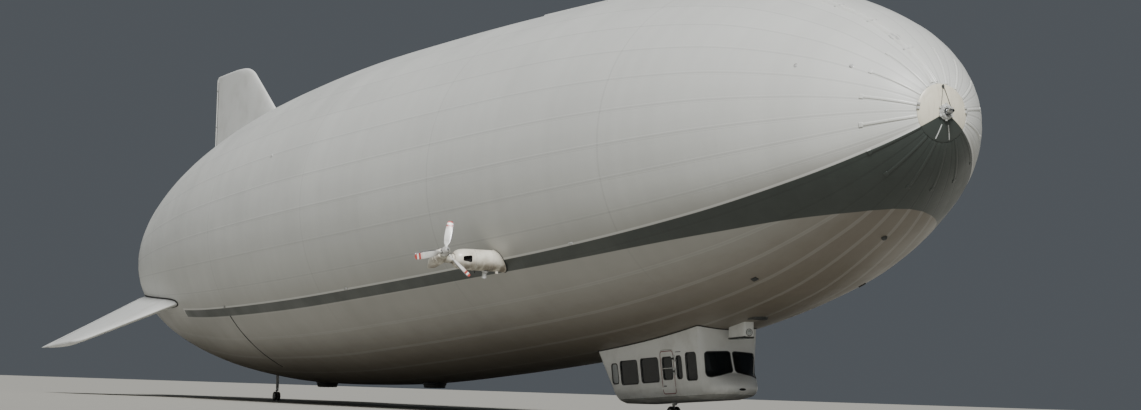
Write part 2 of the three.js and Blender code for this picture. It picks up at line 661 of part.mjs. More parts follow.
const upright = fin();
const surface = controlSurface();
for (const [side, angle] of Object.entries(FIN_ANGLES)) {
  add(`${side}_fin`, turnedTo(angle, upright).subtract(cutter), FINISH.fin);
  const rest = side === 'top' ? RUDDER_REST_DEG : 0;
  const pivot = [x(HINGE_STATION), 0, 0];
  const set = surface.translate(pivot.map((c) => -c)).rotate([0, 0, -rest]).translate(pivot);
  add(side === 'top' ? 'rudder' : `${side}_elevator`, turnedTo(angle, set), FINISH.fin);
}

const tilt = [0, -THRUST.tiltDeg, 0];
const blades = propeller(PROPELLER_RADIUS);
const parkedBlades = blades.rotate([-PARKED_TURN_DEG, 0, 0]).translate([THRUST.hubAhead * MM, 0, 0]);
const pivotAt = [x(NACELLE.station), -THRUST.y * MM, NACELLE.z * MM];
const sidePieces = {
  nacelle: [nacelle(), FINISH.cream],
  engine: [engineBlock(), FINISH.engine],
  exhaust: [exhaust(), FINISH.steel],
  swivel: [swivel().rotate(tilt).translate(pivotAt), FINISH.cream],
  propeller: [parkedBlades.rotate(tilt).translate(pivotAt), FINISH.blade],
};
for (const [name, [solid, material]] of Object.entries(sidePieces)) {
  add(`starboard_${name}`, solid, material);
  add(`port_${name}`, mirrorY(solid), material);
}

add('stern_cone', sternCone(), FINISH.cream);
add('stern_engine', sternEngine(), FINISH.engine);
const rearPivot = [x(STERN.pivotStation), 0, 0];
const rearHub = [x(STERN.pivotStation + STERN.hubBehind), 0, 0];
const lateralHub = [x(LATERAL.station), LATERAL.y * MM, 0];
add('rear_swivel', rearSwivel().rotate([0, 0, 180]).translate(rearPivot), FINISH.cream);
add('rear_propeller', blades.rotate([0, 0, 180]).translate(rearHub), FINISH.blade);
add('lateral_propeller', propeller(LATERAL.radius).rotate([0, 0, 90]).translate(lateralHub), FINISH.blade);

const starboardWall = sideWall();
const starboardDoor = door();
const doorPane = glazing(windowPrism(DOOR_WINDOW, 0.04)).intersect(starboardHalf);
const frontPane = glazing(windowPrism([13.32, 14.86, -7.86, -6.78], 0)).intersect(starboardHalf);
const rearPane = glazing(windowPrism([16.04, 19.0, -7.88, -6.86], 0)).intersect(starboardHalf);
const gondolaSides = {
  wall: [starboardWall, FINISH.gondola],
  door: [starboardDoor, FINISH.door],
  door_pane: [doorPane, FINISH.glass],
  front_glazing: [frontPane, FINISH.glass],
  rear_glazing: [rearPane, FINISH.glass],
};
for (const [name, [solid, material]] of Object.entries(gondolaSides)) {
  add(`starboard_${name}`, solid, material);
  add(`port_${name}`, mirrorY(solid), material);
}
const cabin = slab(FLOOR_TOP + SEAT_GAP, -5);
add('gondola_nose', shell.intersect(box(8, PILLAR_STATION - SEAT_GAP, -3, 3, FLOOR_TOP + SEAT_GAP, -5))
  .subtract(windscreenPrism()), FINISH.gondola);
add('windscreen', glazing(windscreenPrism(0.03, true)), FINISH.glass);
add('gondola_rear_wall', shell.intersect(slantedRear(0.2 - SEAT_GAP)).intersect(cabin), FINISH.gondola);
add('gondola_floor', outerGondola.intersect(slab(-9, FLOOR_TOP)), FINISH.gondola);
const lining = gondolaBody(GONDOLA_WALL + SEAT_GAP).intersect(slab(CEILING, CEILING + 0.05));
add('gondola_roof', lining.subtract(cutter), FINISH.gondola);
add('passenger_seats', seats([16.4, 17.35, 18.3], [16.1, 18.7]), FINISH.seat);
add('pilot_seats', seats([14.1], [13.8, 14.5]), FINISH.seat);
add('instrument_panel', join(
  box(13.1, 13.4, -0.7, 0.7, -7.75, -7.5),
  box(13.2, 13.36, -0.12, 0.12, FLOOR_TOP + SEAT_GAP, -7.6),
), FINISH.dark);

const gondolaGear = gearPieces(GONDOLA_GEAR, -8.45 - SEAT_GAP, 0.08);
const tailGear = gearPieces(TAIL_GEAR, -hullRadius(TAIL_GEAR.station) + 0.3, 0.07);
tailGear.leg = tailGear.leg.subtract(cutter);
for (const [place, gear] of [['gondola_gear', gondolaGear], ['tail_gear', tailGear]]) {
  add(`${place}_leg`, gear.leg, FINISH.dark);
  add(`${place}_fork`, gear.fork, FINISH.steel);
  add(`${place}_wheels`, gear.wheels, FINISH.tyre);
}

add('light_box', box(11.65, 12.75, -0.2, 0.2, -6.4, -5.6).subtract(cutter), FINISH.gondola);
add('gas_valve', bellyFitting(11.1, 0.35, 0.03), FINISH.dark);
add('front_belly_fitting', bellyFitting(37.8, 0.5, 0.2), FINISH.dark);
add('rear_belly_fitting', bellyFitting(50.0, 0.5, 0.2), FINISH.dark);

ship.rotation.y = -GROUND_PITCH;
const model = new THREE.Group();
model.add(ship);
export default model;
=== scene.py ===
"""A semi-rigid passenger airship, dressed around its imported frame.

The ship is drawn level and at full size: x forward from the lift station, y to port, z up, in metres.
A station is the distance aft of the hull's nose. Level points become model points in to_model().
"""
import json
import math

import bmesh
import bpy
import numpy as np
from bpy.props import FloatProperty, FloatVectorProperty, PointerProperty
from bpy.types import Operator, Panel, PropertyGroup
from mathutils import Matrix, Vector


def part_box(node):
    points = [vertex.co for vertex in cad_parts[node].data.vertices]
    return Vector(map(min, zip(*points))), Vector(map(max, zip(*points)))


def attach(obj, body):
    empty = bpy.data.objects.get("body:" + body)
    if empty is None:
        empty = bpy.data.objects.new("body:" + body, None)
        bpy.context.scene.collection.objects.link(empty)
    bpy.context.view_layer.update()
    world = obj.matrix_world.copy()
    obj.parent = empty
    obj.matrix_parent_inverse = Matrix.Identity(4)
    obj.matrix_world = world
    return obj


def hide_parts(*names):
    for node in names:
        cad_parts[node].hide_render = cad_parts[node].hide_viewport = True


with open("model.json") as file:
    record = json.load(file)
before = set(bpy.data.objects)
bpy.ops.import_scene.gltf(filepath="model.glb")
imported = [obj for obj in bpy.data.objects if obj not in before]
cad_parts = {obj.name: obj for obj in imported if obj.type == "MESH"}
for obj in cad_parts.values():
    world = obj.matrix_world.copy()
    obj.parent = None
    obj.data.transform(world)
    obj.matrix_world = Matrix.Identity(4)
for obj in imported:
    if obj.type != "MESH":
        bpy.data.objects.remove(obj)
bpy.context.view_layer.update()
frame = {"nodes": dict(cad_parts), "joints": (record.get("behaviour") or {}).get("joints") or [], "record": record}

bl_info = {
    "name": "Airship dressing",
    "version": (1, 0, 0),
    "blender": (4, 5, 0),
    "location": "3D View > Sidebar > Airship",
    "description": "Hull cloth, fins, engines, gondola and landing gear for the packed airship",
    "category": "Add Mesh",
}

# Frame: the model's scale and the pitch at which the ship stands on its wheels
SCALE = float(frame["record"]["size"]["model_scale_k"])
LIFT_STATION = 36.0
CASTER = next(joint for joint in frame["joints"] if joint["name"] == "tail_caster")
PITCH = math.atan2(-CASTER["axis"][0], CASTER["axis"][2])
FLOOR_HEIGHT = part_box("gondola_gear_wheels")[0].z

# Hull: columns are station and radius
HULL = [
    (0, 0), (0.45, 1.33), (1.2, 2.17), (3.5, 3.66), (8, 5.2), (15, 6.25), (23, 6.72), (32, 7.0), (40, 7.08),
    (50, 6.68), (57, 5.94), (63, 4.87), (68, 3.5), (71, 2.15), (72.2, 1.3),
]
NOSE_RIM = 0.2
TAIL_RIM = 72.2
GORES = 32
FIRST_SEAM = 1.3                     # degrees below the starboard horizontal
GORE_ANGLE = 360 / GORES
GORE_PLACES = (0, 0.06, 0.2, 0.4, 0.6, 0.8, 0.94)   # where the skin's columns stand across a gore
STRIPE_TOP = 31.5                    # degrees below horizontal of the stripe's upper edge
STRIPE_END = 54.5                    # station where the stripe runs into the fin's root
BELLY_START = 2.03                   # station where the pale belly begins
BELLY_HALF = 55.0                    # degrees from the bottom to the stripe's lower edge
BELLY_RATE = 0.62

# Tail: the fin's leading edge is given by distance from the axis and station
FIN_EDGE = [(3.2, 52.2), (9.3, 60.55), (9.62, 61.2), (9.8, 62.0), (9.88, 63.2)]
FIN_TURNS = {"top": 90, "starboard": -152, "port": -28}
HINGE = 66.1
SURFACE_CHORD = 1.4
SURFACE_SPAN = (4.35, 9.8)
LUGS = (5.2, 7.2, 9.1)
RUDDER_REST = 16

# Engines: stations, heights and sizes of the pods and of the line of thrust
POD = {"station": 19.9, "z": -3.45, "radius": 0.38, "inboard": 5.2, "outboard": 7.42}
THRUST = {"y": 8.0, "tilt": 18, "hub": 0.62, "radius": 0.25, "tail": 0.92}
SIDE_BLADES = {"radius": 1.24, "turn": 17.5}
STERN = {"pivot": 73.9, "hub": 0.86, "end": 73.5}
LATERAL = {"station": 72.65, "y": 2.0, "radius": 1.0}
RUN_GAP = 0.012

# Gondola: columns are height, half width and station of the nose
GONDOLA = np.array([
    (-8.45, 0.62, 12.8), (-8.33, 0.87, 12.25), (-8.1, 0.975, 12.06), (-7.88, 1.005, 12.15),
    (-7.66, 1.035, 12.42), (-7.55, 1.05, 12.62), (-6.45, 1.17, 12.98), (-5.7, 1.2, 13.05),
])
FLOOR_TOP = -8.33
CEILING = -6.6
WALL = 0.05
PILLAR = 13.22
REAR_TOP = 20.6
REAR_BOTTOM = 19.5
REAR_CORNER = 0.18
WINDOW_CORNER = 0.12
# Windows of one side: columns are front station, rear station, bottom and top
WINDOWS = {
    "cockpit": (13.38, 14.12, -7.8, -6.84), "forward": (14.42, 14.8, -7.72, -6.92),
    "second": (16.1, 17.4, -7.78, -6.92), "third": (17.65, 18.95, -7.8, -6.95),
    "rear": (19.15, 19.62, -7.75, -7.02),
}
# The side wall between neighbouring posts holds one opening each
POSTS = {
    "cockpit": (13.22, 14.27), "forward": (14.27, 14.88), "door": (14.88, 16.02),
    "second": (16.02, 17.52), "third": (17.52, 19.07),
}
DOOR = (14.95, 15.95, -8.26, -6.68)
DOOR_CORNER = 0.16
DOOR_WINDOW = (15.1, 15.8, -7.72, -6.93)
SILL = -8.32
LINTEL = -6.62

SIDES = {"starboard": -1, "port": 1}


def ahead(station):
    """How far a station lies ahead of the lift station."""
    return LIFT_STATION - station


def full_turn(count):
    """Evenly spaced angles once round, in radians."""
    return 2 * np.pi * np.arange(count) / count


def same_shape(*values):
    """Numbers and arrays brought to one shape."""
    return np.broadcast_arrays(*(np.asarray(v, float) for v in values))


def curve_through(knots, values, at):
    """A smooth curve through a table: a cubic between knots, each slope taken from the two neighbours."""
    knots, values, at = (np.asarray(item, float) for item in (knots, values, at))
    slopes = np.gradient(values, knots, edge_order=1)
    slopes[1:-1] = (values[2:] - values[:-2]) / (knots[2:] - knots[:-2])
    k = np.clip(np.searchsorted(knots, at, side="right") - 1, 0, len(knots) - 2)
    length = knots[k + 1] - knots[k]
    t = np.clip((at - knots[k]) / length, 0, 1)
    near = values[k] * (1 + 2 * t) * (1 - t) ** 2 + length * slopes[k] * t * (1 - t) ** 2
    far = values[k + 1] * t * t * (3 - 2 * t) - length * slopes[k + 1] * t * t * (1 - t)
    return near + far


def hull_radius(station):
    """The square root of a cubic through the table's squared radii, which rounds the nose."""
    knots, radii = np.array(HULL, float).T
    return np.sqrt(np.maximum(curve_through(knots, radii ** 2, station), 0))


def hull_slope(station):
    """Change of the hull's radius with station, measured over 1 cm each way."""
    step = 0.01
    return (hull_radius(station + step) - hull_radius(station - step)) / (2 * step)


def on_hull(station, angle, lift=0.0):
    """Level point on the hull: angle in degrees below the starboard horizontal, lift off the skin."""
    station, angle, lift = same_shape(station, angle, lift)
    slope = hull_slope(station)
    size = np.sqrt(1 + slope ** 2)
    radius = hull_radius(station) + lift / size
    forward = ahead(station) + lift * slope / size
    turn = np.radians(angle)
    return np.stack([forward, -radius * np.cos(turn), -radius * np.sin(turn)], -1)


def hull_values(points):
    """How far a point lies inside the stripe from its upper edge and from the pale belly, in metres.

    The upper edge is a line of constant angle. The belly's edge is where the angle from the bottom
    equals BELLY_HALF times the hyperbolic tangent of BELLY_RATE times the root of the run from its start.
    """
    station = LIFT_STATION - points[..., 0]
    radius = np.hypot(points[..., 1], points[..., 2])
    below = np.degrees(np.arctan2(-points[..., 2], np.abs(points[..., 1])))
    top = np.minimum(np.radians(below - STRIPE_TOP) * radius, STRIPE_END + 1 - station)
    from_bottom = 90 - below
    run = station - BELLY_START
    share = np.where(run > 0, np.tanh(BELLY_RATE * np.sqrt(np.maximum(run, 0))) ** 2, BELLY_RATE ** 2 * run)
    wide = from_bottom / BELLY_HALF
    inside = wide ** 2 - share
    rate = np.where(run > 0, BELLY_RATE ** 2 * (1 - np.clip(share, 0, 1)) ** 2, BELLY_RATE ** 2)
    across = 2 * np.sqrt(np.maximum(share, 0.02)) / (np.radians(BELLY_HALF) * np.maximum(radius, 0.3))
    return {"stripe_top": top, "stripe_belly": inside / np.hypot(rate, across)}


def to_model(points):
    """Level full-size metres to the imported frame: scaled, then pitched nose-up about the lift point."""
    c, s = math.cos(PITCH), math.sin(PITCH)
    x, y, z = (points[..., k] * SCALE for k in range(3))
    return np.stack([x * c - z * s, y, x * s + z * c], -1)


def turn_about(points, centre, axis, degrees):
    """Points turned right-handed about a line: the share along it stays and the rest turns by the angle."""
    a = math.radians(degrees)
    k = np.asarray(axis, float) / np.linalg.norm(axis)
    p = points - np.asarray(centre, float)
    turned_points = p * math.cos(a) + np.cross(k, p) * math.sin(a) + np.outer(p @ k, k) * (1 - math.cos(a))
    return turned_points + centre


class Patch:
    """A sheet or a closed body: level points, faces as index arrays, a uv for each point, named values."""

    def __init__(self, points, faces, uv=None, finish=0, **values):
        self.points = np.asarray(points, float)
        self.faces = faces
        self.uv = np.zeros((len(self.points), 2)) if uv is None else np.asarray(uv, float)
        self.values = values
        self.finish = finish

    def moved(self, change):
        """The same patch with its points passed through a function."""
        return Patch(change(self.points), self.faces, self.uv, self.finish, **self.values)

    def shifted(self, x, y, z):
        """The same patch moved along the three axes."""
        return self.moved(lambda p: p + (x, y, z))

    def spun(self, axis, degrees, centre=(0, 0, 0)):
        """The patch turned right-handed about a line along x, y or z."""
        line = {"x": (1, 0, 0), "y": (0, 1, 0), "z": (0, 0, 1)}[axis]
        return self.moved(lambda p: turn_about(p, centre, line, degrees))

    def flipped(self):
        """The same patch with its faces turned over."""
        faces = [face[:, ::-1] for face in self.faces]
        return Patch(self.points, faces, self.uv, self.finish, **self.values)

    def mirrored(self):
        """The same patch on the other side of the ship, still facing outwards."""
        return self.moved(lambda p: p * (1, -1, 1)).flipped()

    def area_vectors(self):
        """Twice each fan triangle's area along its normal, with the triangles' middles."""
        normals, middles = [], []
        for face in self.faces:
            corners = self.points[face]
            for k in range(1, face.shape[1] - 1):
                a, b, c = corners[:, 0], corners[:, k], corners[:, k + 1]
                normals.append(np.cross(b - a, c - a))
                middles.append((a + b + c) / 3)
        return np.concatenate(normals), np.concatenate(middles)

    def facing_from(self, reference):
        """The patch turned so that most of it faces away from a point."""
        normals, middles = self.area_vectors()
        away = np.sum(normals * (middles - np.asarray(reference, float)))
        return self if away > 0 else self.flipped()

    def closed(self):
        """A closed patch with its faces pointing out, by the sign of its volume."""
        return self.facing_from(self.points.mean(0))


def grid_faces(rows, columns, wrap=False):
    """Quads of a grid, counted row by row; wrap joins the last column to the first."""
    r, c = np.meshgrid(np.arange(rows - 1), np.arange(columns if wrap else columns - 1), indexing="ij")
    r, c = r.ravel(), c.ravel()
    n = (c + 1) % columns
    return np.stack([r * columns + c, r * columns + n, (r + 1) * columns + n, (r + 1) * columns + c], 1)


def sheet(points, wrap=False, uv=None, finish=0, **values):
    """A patch from a grid of points with shape rows, columns, 3."""
    rows, columns = points.shape[:2]
    flat = {name: np.asarray(value).reshape(-1) for name, value in values.items()}
    corners = None if uv is None else uv.reshape(-1, 2)
    return Patch(points.reshape(-1, 3), [grid_faces(rows, columns, wrap)], corners, finish, **flat)


def lofted(rings, finish=0, **values):
    """Closed rings, each joined to the next, with a flat face over each end."""
    body = sheet(rings, wrap=True, finish=finish, **values)
    rows, columns = rings.shape[:2]
    first = np.arange(columns)[::-1][None]
    last = ((rows - 1) * columns + np.arange(columns))[None]
    body.faces += [first, last]
    return body.closed()


def turned(profile, sides, centre=(0, 0, 0), axis="x", finish=0):
    """A profile of place along an axis and radius, carried round the axis, closed where it ends."""
    along, radius = np.asarray(profile, float).T
    turn = full_turn(sides)
    a, b = radius[:, None] * np.cos(turn), radius[:, None] * np.sin(turn)
    length = np.broadcast_to(along[:, None], a.shape)
    order = {"x": (length, a, b), "y": (b, length, a), "z": (a, b, length)}[axis]
    return lofted(np.stack(order, -1) + np.asarray(centre, float), finish)


def tube(profile, sides, centre=(0, 0, 0), axis="x", finish=0):
    """A profile that closes on itself away from the axis, carried round the axis into a ring."""
    body = turned(list(profile) + [profile[0]], sides, centre, axis, finish)
    body.faces = body.faces[:1]
    return body.closed()


def rounded(profile, radius):
    """A profile whose inner corners are cut back by radius and joined by a curve of second degree."""
    p = np.asarray(profile, float)
    before, corner, after = p[:-2], p[1:-1], p[2:]
    reach_in = np.linalg.norm(before - corner, axis=1, keepdims=True)
    reach_out = np.linalg.norm(after - corner, axis=1, keepdims=True)
    start = corner + (before - corner) * np.minimum(radius / np.maximum(reach_in, 1e-9), 0.45)
    end = corner + (after - corner) * np.minimum(radius / np.maximum(reach_out, 1e-9), 0.45)
    t = np.linspace(0, 1, 5)[None, :, None]
    bent = start[:, None] * (1 - t) ** 2 + corner[:, None] * 2 * t * (1 - t) + end[:, None] * t ** 2
    return np.concatenate([p[:1], bent.reshape(-1, p.shape[1]), p[-1:]])


def circle(radius, count):
    """A round section."""
    turn = full_turn(count)
    return radius * np.stack([np.cos(turn), np.sin(turn)], 1)


def carried(path, section, lean, closed=False, finish=0):
    """A closed section carried along a path: its first direction is across lean, its second along it."""
    path = np.asarray(path, float)
    if closed:
        tangent = np.roll(path, -1, 0) - np.roll(path, 1, 0)
    else:
        tangent = np.gradient(path, axis=0)
    tangent /= np.linalg.norm(tangent, axis=1, keepdims=True)
    lean = np.broadcast_to(np.asarray(lean, float), path.shape)
    across = np.cross(tangent, lean)
    across /= np.linalg.norm(across, axis=1, keepdims=True)
    up = np.cross(across, tangent)
    section = np.asarray(section, float)
    rings = path[:, None] + section[None, :, :1] * across[:, None] + section[None, :, 1:] * up[:, None]
    if not closed:
        return lofted(rings, finish)
    body = sheet(np.concatenate([rings, rings[:1]]), wrap=True, finish=finish)
    return body.closed()


def rod(start, end, radius, sides, finish=0):
    """A straight round bar with slightly rounded ends."""
    start, end = np.asarray(start, float), np.asarray(end, float)
    length = np.linalg.norm(end - start)
    direction = (end - start) / length
    lean = (0, 0, 1) if abs(direction[2]) < 0.9 else (1, 0, 0)
    cut = min(radius * 0.15, length * 0.2)
    places = np.array([0, cut, length - cut, length])
    sizes = np.array([radius - cut, radius, radius, radius - cut])
    across = np.cross(direction, lean)
    across /= np.linalg.norm(across)
    up = np.cross(across, direction)
    section = circle(1, sides)
    round_part = section[None, :, :1] * across + section[None, :, 1:] * up
    rings = start + places[:, None, None] * direction + sizes[:, None, None] * round_part
    return lofted(rings, finish)


def rounded_outline(low, high, radius, count=12):
    """Once round a rectangle: each side is half a rounded corner, a straight run, half a corner."""
    t = np.arange(count) / count
    lean = np.radians(45) * (np.clip(4 * t - 3, 0, 1) - np.clip(1 - 4 * t, 0, 1))
    run = np.clip(2 * t - 0.5, 0, 1) if radius > 0 else t
    low, high = np.asarray(low, float), np.asarray(high, float)
    middle, half = (low + high) / 2, (high - low) / 2
    sides = []
    for turn, (c, s) in enumerate([(1, 0), (0, 1), (-1, 0), (0, -1)]):
        length, depth = (half if turn % 2 == 0 else half[::-1]) - radius
        u = (2 * run - 1) * length + radius * np.sin(lean) * (radius > 0)
        v = -depth - radius * (np.cos(lean) if radius > 0 else 0)
        v = np.broadcast_to(v, u.shape)
        sides.append(np.stack([c * u - s * v, s * u + c * v], 1))
    return middle + np.concatenate(sides)


def warped(corners, outline):
    """An outline in the unit square, carried into the four-cornered field between corners."""
    a, b, c, d = (np.asarray(corner, float) for corner in corners)
    u, v = outline[:, :1], outline[:, 1:]
    return a * (1 - u) * (1 - v) + b * u * (1 - v) + c * u * v + d * (1 - u) * v


def ring_cell(outer, inner, steps):
    """Points from an outer outline to a hole's outline, row by row, closer together at the hole."""
    t = 1 - (1 - np.linspace(0, 1, steps + 1)[:, None, None]) ** 1.5
    return outer[None] * (1 - t) + inner[None] * t


def block(low, high, radius, steps=3, finish=0):
    """A block with rounded edges: rounded rectangles stacked along z, drawn in at the top and the bottom."""
    low, high = np.asarray(low, float), np.asarray(high, float)
    radius = min(radius, 0.49 * float((high - low).min()))
    a = np.linspace(0, np.pi / 2, steps + 1)
    draw = radius * (1 - np.sin(a))
    rise = radius * (1 - np.cos(a))
    insets = np.concatenate([draw, draw[::-1]])
    heights = np.concatenate([low[2] + rise, high[2] - rise[::-1]])
    base = rounded_outline(low[:2], high[:2], radius)
    middle = (low[:2] + high[:2]) / 2
    half = (high[:2] - low[:2]) / 2
    share = 1 - insets[:, None, None] / half
    flat = middle + (base[None] - middle) * share
    rings = np.concatenate([flat, np.broadcast_to(heights[:, None, None], (len(heights), len(base), 1))], 2)
    return lofted(rings, finish)


def joined_mesh(name, patches):
    """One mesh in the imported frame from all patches, with its doubles merged."""
    counts = [len(patch.points) for patch in patches]
    starts = np.concatenate([[0], np.cumsum(counts)[:-1]])
    faces, finish = [], []
    for patch, start in zip(patches, starts):
        for face in patch.faces:
            faces += (face + start).tolist()
            finish += [patch.finish] * len(face)
    mesh = bpy.data.meshes.new(name)
    mesh.from_pydata(to_model(np.concatenate([patch.points for patch in patches])).tolist(), [], faces)
    mesh.polygons.foreach_set("material_index", finish)
    for value in sorted({key for patch in patches for key in patch.values}):
        data = [np.asarray(patch.values.get(value, np.zeros(n)), np.float32)
                for patch, n in zip(patches, counts)]
        mesh.attributes.new(value, "FLOAT", "POINT").data.foreach_set("value", np.concatenate(data))
    corners = np.empty(len(mesh.loops), np.int32)
    mesh.loops.foreach_get("vertex_index", corners)
    uv = np.concatenate([patch.uv for patch in patches])[corners].astype(np.float32)
    mesh.uv_layers.new(name="surface").data.foreach_set("uv", uv.ravel())
    work = bmesh.new()
    work.from_mesh(mesh)
    bmesh.ops.remove_doubles(work, verts=work.verts, dist=2e-5)
    work.to_mesh(mesh)
    work.free()
    return mesh


def with_modifier(piece, name, kind, **settings):
    """One modifier on the piece, applied to its mesh."""
    modifier = piece.modifiers.new(name, kind)
    for key, value in settings.items():
        setattr(modifier, key, value)
    state = bpy.context.evaluated_depsgraph_get()
    done = bpy.data.meshes.new_from_object(
        piece.evaluated_get(state), preserve_all_data_layers=True, depsgraph=state)
    piece.modifiers.clear()
    raw, piece.data = piece.data, done
    bpy.data.meshes.remove(raw)
    done.name = piece.name


def make_piece(name, patches, finishes, replaces="", body="hull", wall=0.0, bevel=0.0, crease=35):
    """Joins patches into one finished piece; finishes are names with spaces between them.

    wall gives open sheets a thickness inwards and bevel rounds sharp edges.
    """
    piece = bpy.data.objects.new(name, joined_mesh(name, list(patches)))
    bpy.context.scene.collection.objects.link(piece)
    for finish_name in finishes.split():
        piece.data.materials.append(material(finish_name))
    if wall:
        lined = 1 if "cabin_lining" in finishes else 0
        with_modifier(piece, "wall", "SOLIDIFY", thickness=wall * SCALE, offset=-1, material_offset=lined,
                      use_even_offset=True)
    if bevel:
        with_modifier(piece, "edge", "BEVEL", width=bevel * SCALE, segments=2, limit_method="ANGLE",
                      angle_limit=math.radians(40))
    piece.data.shade_smooth()
    piece.data.set_sharp_from_angle(angle=math.radians(crease))
    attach(piece, body)
    if replaces:
        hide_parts(replaces)
    return piece


def srgb(*shares):
    """A colour given as it looks on a screen, 0 to 255, turned into light values."""
    shares = np.array(shares) / 255
    light = np.where(shares <= 0.04045, shares / 12.92, ((shares + 0.055) / 1.055) ** 2.4)
    return tuple(light.tolist())


def sizes_of(name):
    """The settings of one group of pieces."""
    return getattr(bpy.context.scene, f"airship_{name}")


class Number:
    """What a node puts out. Arithmetic on it adds Math nodes."""

    def __init__(self, wiring, socket):
        self.wiring = wiring
        self.socket = socket

    def __add__(self, other):
        return self.wiring.calc("ADD", self, other)

    def __sub__(self, other):
        return self.wiring.calc("SUBTRACT", self, other)

    def __mul__(self, other):
        return self.wiring.calc("MULTIPLY", self, other)

    def __truediv__(self, other):
        return self.wiring.calc("DIVIDE", self, other)

    def __rtruediv__(self, other):
        return self.wiring.calc("DIVIDE", other, self)

    def __radd__(self, other):
        return self.wiring.calc("ADD", other, self)


class Wiring:
    """Short calls for the nodes of one material or one group."""

    def __init__(self, tree):
        self.tree = tree

    def add(self, kind, settings=None, **given):
        """A node with its settings and with its inputs set by number, as _0, or by name."""
        node = self.tree.nodes.new(kind)
        for key, value in (settings or {}).items():
            setattr(node, key, value)
        for key, value in given.items():
            self.put(node.inputs[int(key[1:]) if key[0] == "_" else key], value)
        return node

    def put(self, socket, value):
        value = getattr(value, "socket", value)
        if isinstance(value, bpy.types.NodeSocket):
            self.tree.links.new(value, socket)
        elif socket.type == "RGBA" and len(value) == 3:
            socket.default_value = (*value, 1)
        else:
            socket.default_value = value

    def result(self, node, output=0):
        return Number(self, node.outputs[output])

    def calc(self, operation, *values, clamp=False):
        inputs = {f"_{k}": value for k, value in enumerate(values)}
        return self.result(self.add("ShaderNodeMath", {"operation": operation, "use_clamp": clamp}, **inputs))

    def blend(self, share, a, b, kind="MIX"):
        node = self.add("ShaderNodeMix", {"data_type": "RGBA", "blend_type": kind}, _0=share, _6=a, _7=b)
        return self.result(node, 2)

    def remap(self, value, low, high, to_low=0.0, to_high=1.0):
        node = self.add("ShaderNodeMapRange", {"interpolation_type": "SMOOTHSTEP"}, _0=value, _1=low, _2=high,
                        _3=to_low, _4=to_high)
        return self.result(node)

    def noise(self, vector, scale, detail, rough=0.55):
        return self.result(self.add("ShaderNodeTexNoise", Vector=vector, Scale=scale, Detail=detail,
                                    Roughness=rough))

    def stretched(self, vector, *scale):
        return self.result(self.add("ShaderNodeMapping", Vector=vector, Scale=scale))

    def split(self, vector):
        node = self.add("ShaderNodeSeparateXYZ", _0=vector)
        return [self.result(node, k) for k in range(3)]

    def value(self, name):
        """A named value of the mesh."""
        return self.result(self.add("ShaderNodeAttribute", {"attribute_name": name}), "Fac")

    def geometry(self, output):
        return self.result(self.add("ShaderNodeNewGeometry"), output)

    def level(self):
        """Object coordinates turned back to the level ship at full size, in metres."""
        place = self.result(self.add("ShaderNodeTexCoord"), "Object")
        return self.result(self.add(
            "ShaderNodeMapping", Vector=place, Rotation=(0, PITCH, 0), Scale=(1 / SCALE,) * 3))

    def bump(self, height, distance):
        """A relief given in full-size metres."""
        return self.result(self.add("ShaderNodeBump", Height=height, Distance=distance * SCALE, Strength=1.0))

    def use(self, name, **values):
        """One shared group by its name, made when it is first asked for, with its inputs set by name."""
        group = bpy.data.node_groups.get(name) or GROUPS[name]()
        node = self.add("ShaderNodeGroup", {"node_tree": group},
                        **{key.capitalize(): value for key, value in values.items()})
        return {socket.name: Number(self, socket) for socket in node.outputs}

    def band(self):
        return self.use("Stripe", top=self.value("stripe_top"), belly=self.value("stripe_belly"))


SOCKET_KINDS = {"value": "NodeSocketFloat", "colour": "NodeSocketColor", "vector": "NodeSocketVector"}


def node_group(name, inputs, outputs):
    """An empty shader group; returns it with its wiring, its inputs and the output node's sockets.

    Inputs and outputs are words such as Mask:value, which name a socket and its kind.
    """
    group = bpy.data.node_groups.new(name, "ShaderNodeTree")
    for way, words in (("INPUT", inputs), ("OUTPUT", outputs)):
        for word in words.split():
            socket, kind = word.split(":")
            group.interface.new_socket(name=socket, in_out=way, socket_type=SOCKET_KINDS[kind])
    w = Wiring(group)
    given = [Number(w, socket) for socket in w.add("NodeGroupInput").outputs if socket.name]
    return group, w, given, w.add("NodeGroupOutput").inputs


def weather_group():
    """Dirt in soft patches with fine specks: it darkens the colour and dulls the gloss."""
    group, w, (place, colour, dirt, amount, size), out = node_group(
        "Weather", "Place:vector Colour:colour Dirt:colour Amount:value Size:value",
        "Colour:colour Dullness:value")
    broad = w.noise(place, 1.0 / size, 4)
    specks = w.noise(place, 9.0 / size, 2, 0.7)
    cover = w.calc("ADD", w.remap(broad, 0.42, 0.72), w.remap(specks, 0.62, 0.8, 0, 0.5), clamp=True)
    share = w.calc("MULTIPLY", cover, amount, clamp=True)
    w.put(out["Colour"], w.blend(share, colour, dirt))
    w.put(out["Dullness"], share * 0.5)
    return group


def grain_group():
    """A fine even roughness with a slow swell under it, as a height."""
    group, w, (place, size), out = node_group("Fine grain", "Place:vector Size:value", "Height:value")
    fine = w.noise(place, 1.0 / size, 2, 0.6)
    slow = w.noise(place, 0.08 / size, 1, 0.5)
    w.put(out["Height"], fine * 0.4 + slow * 0.6)
    return group


def worn_edge_group():
    """A mask of sharp outer edges, broken up by noise."""
    group, w, (place, amount), out = node_group("Worn edges", "Place:vector Amount:value", "Mask:value")
    sharp = w.remap(w.geometry("Pointiness"), 0.53, 0.62)
    broken = w.remap(w.noise(place, 14.0, 3, 0.7), 0.4, 0.62)
    w.put(out["Mask"], w.calc("MULTIPLY", sharp * broken, amount, clamp=True))
    return group


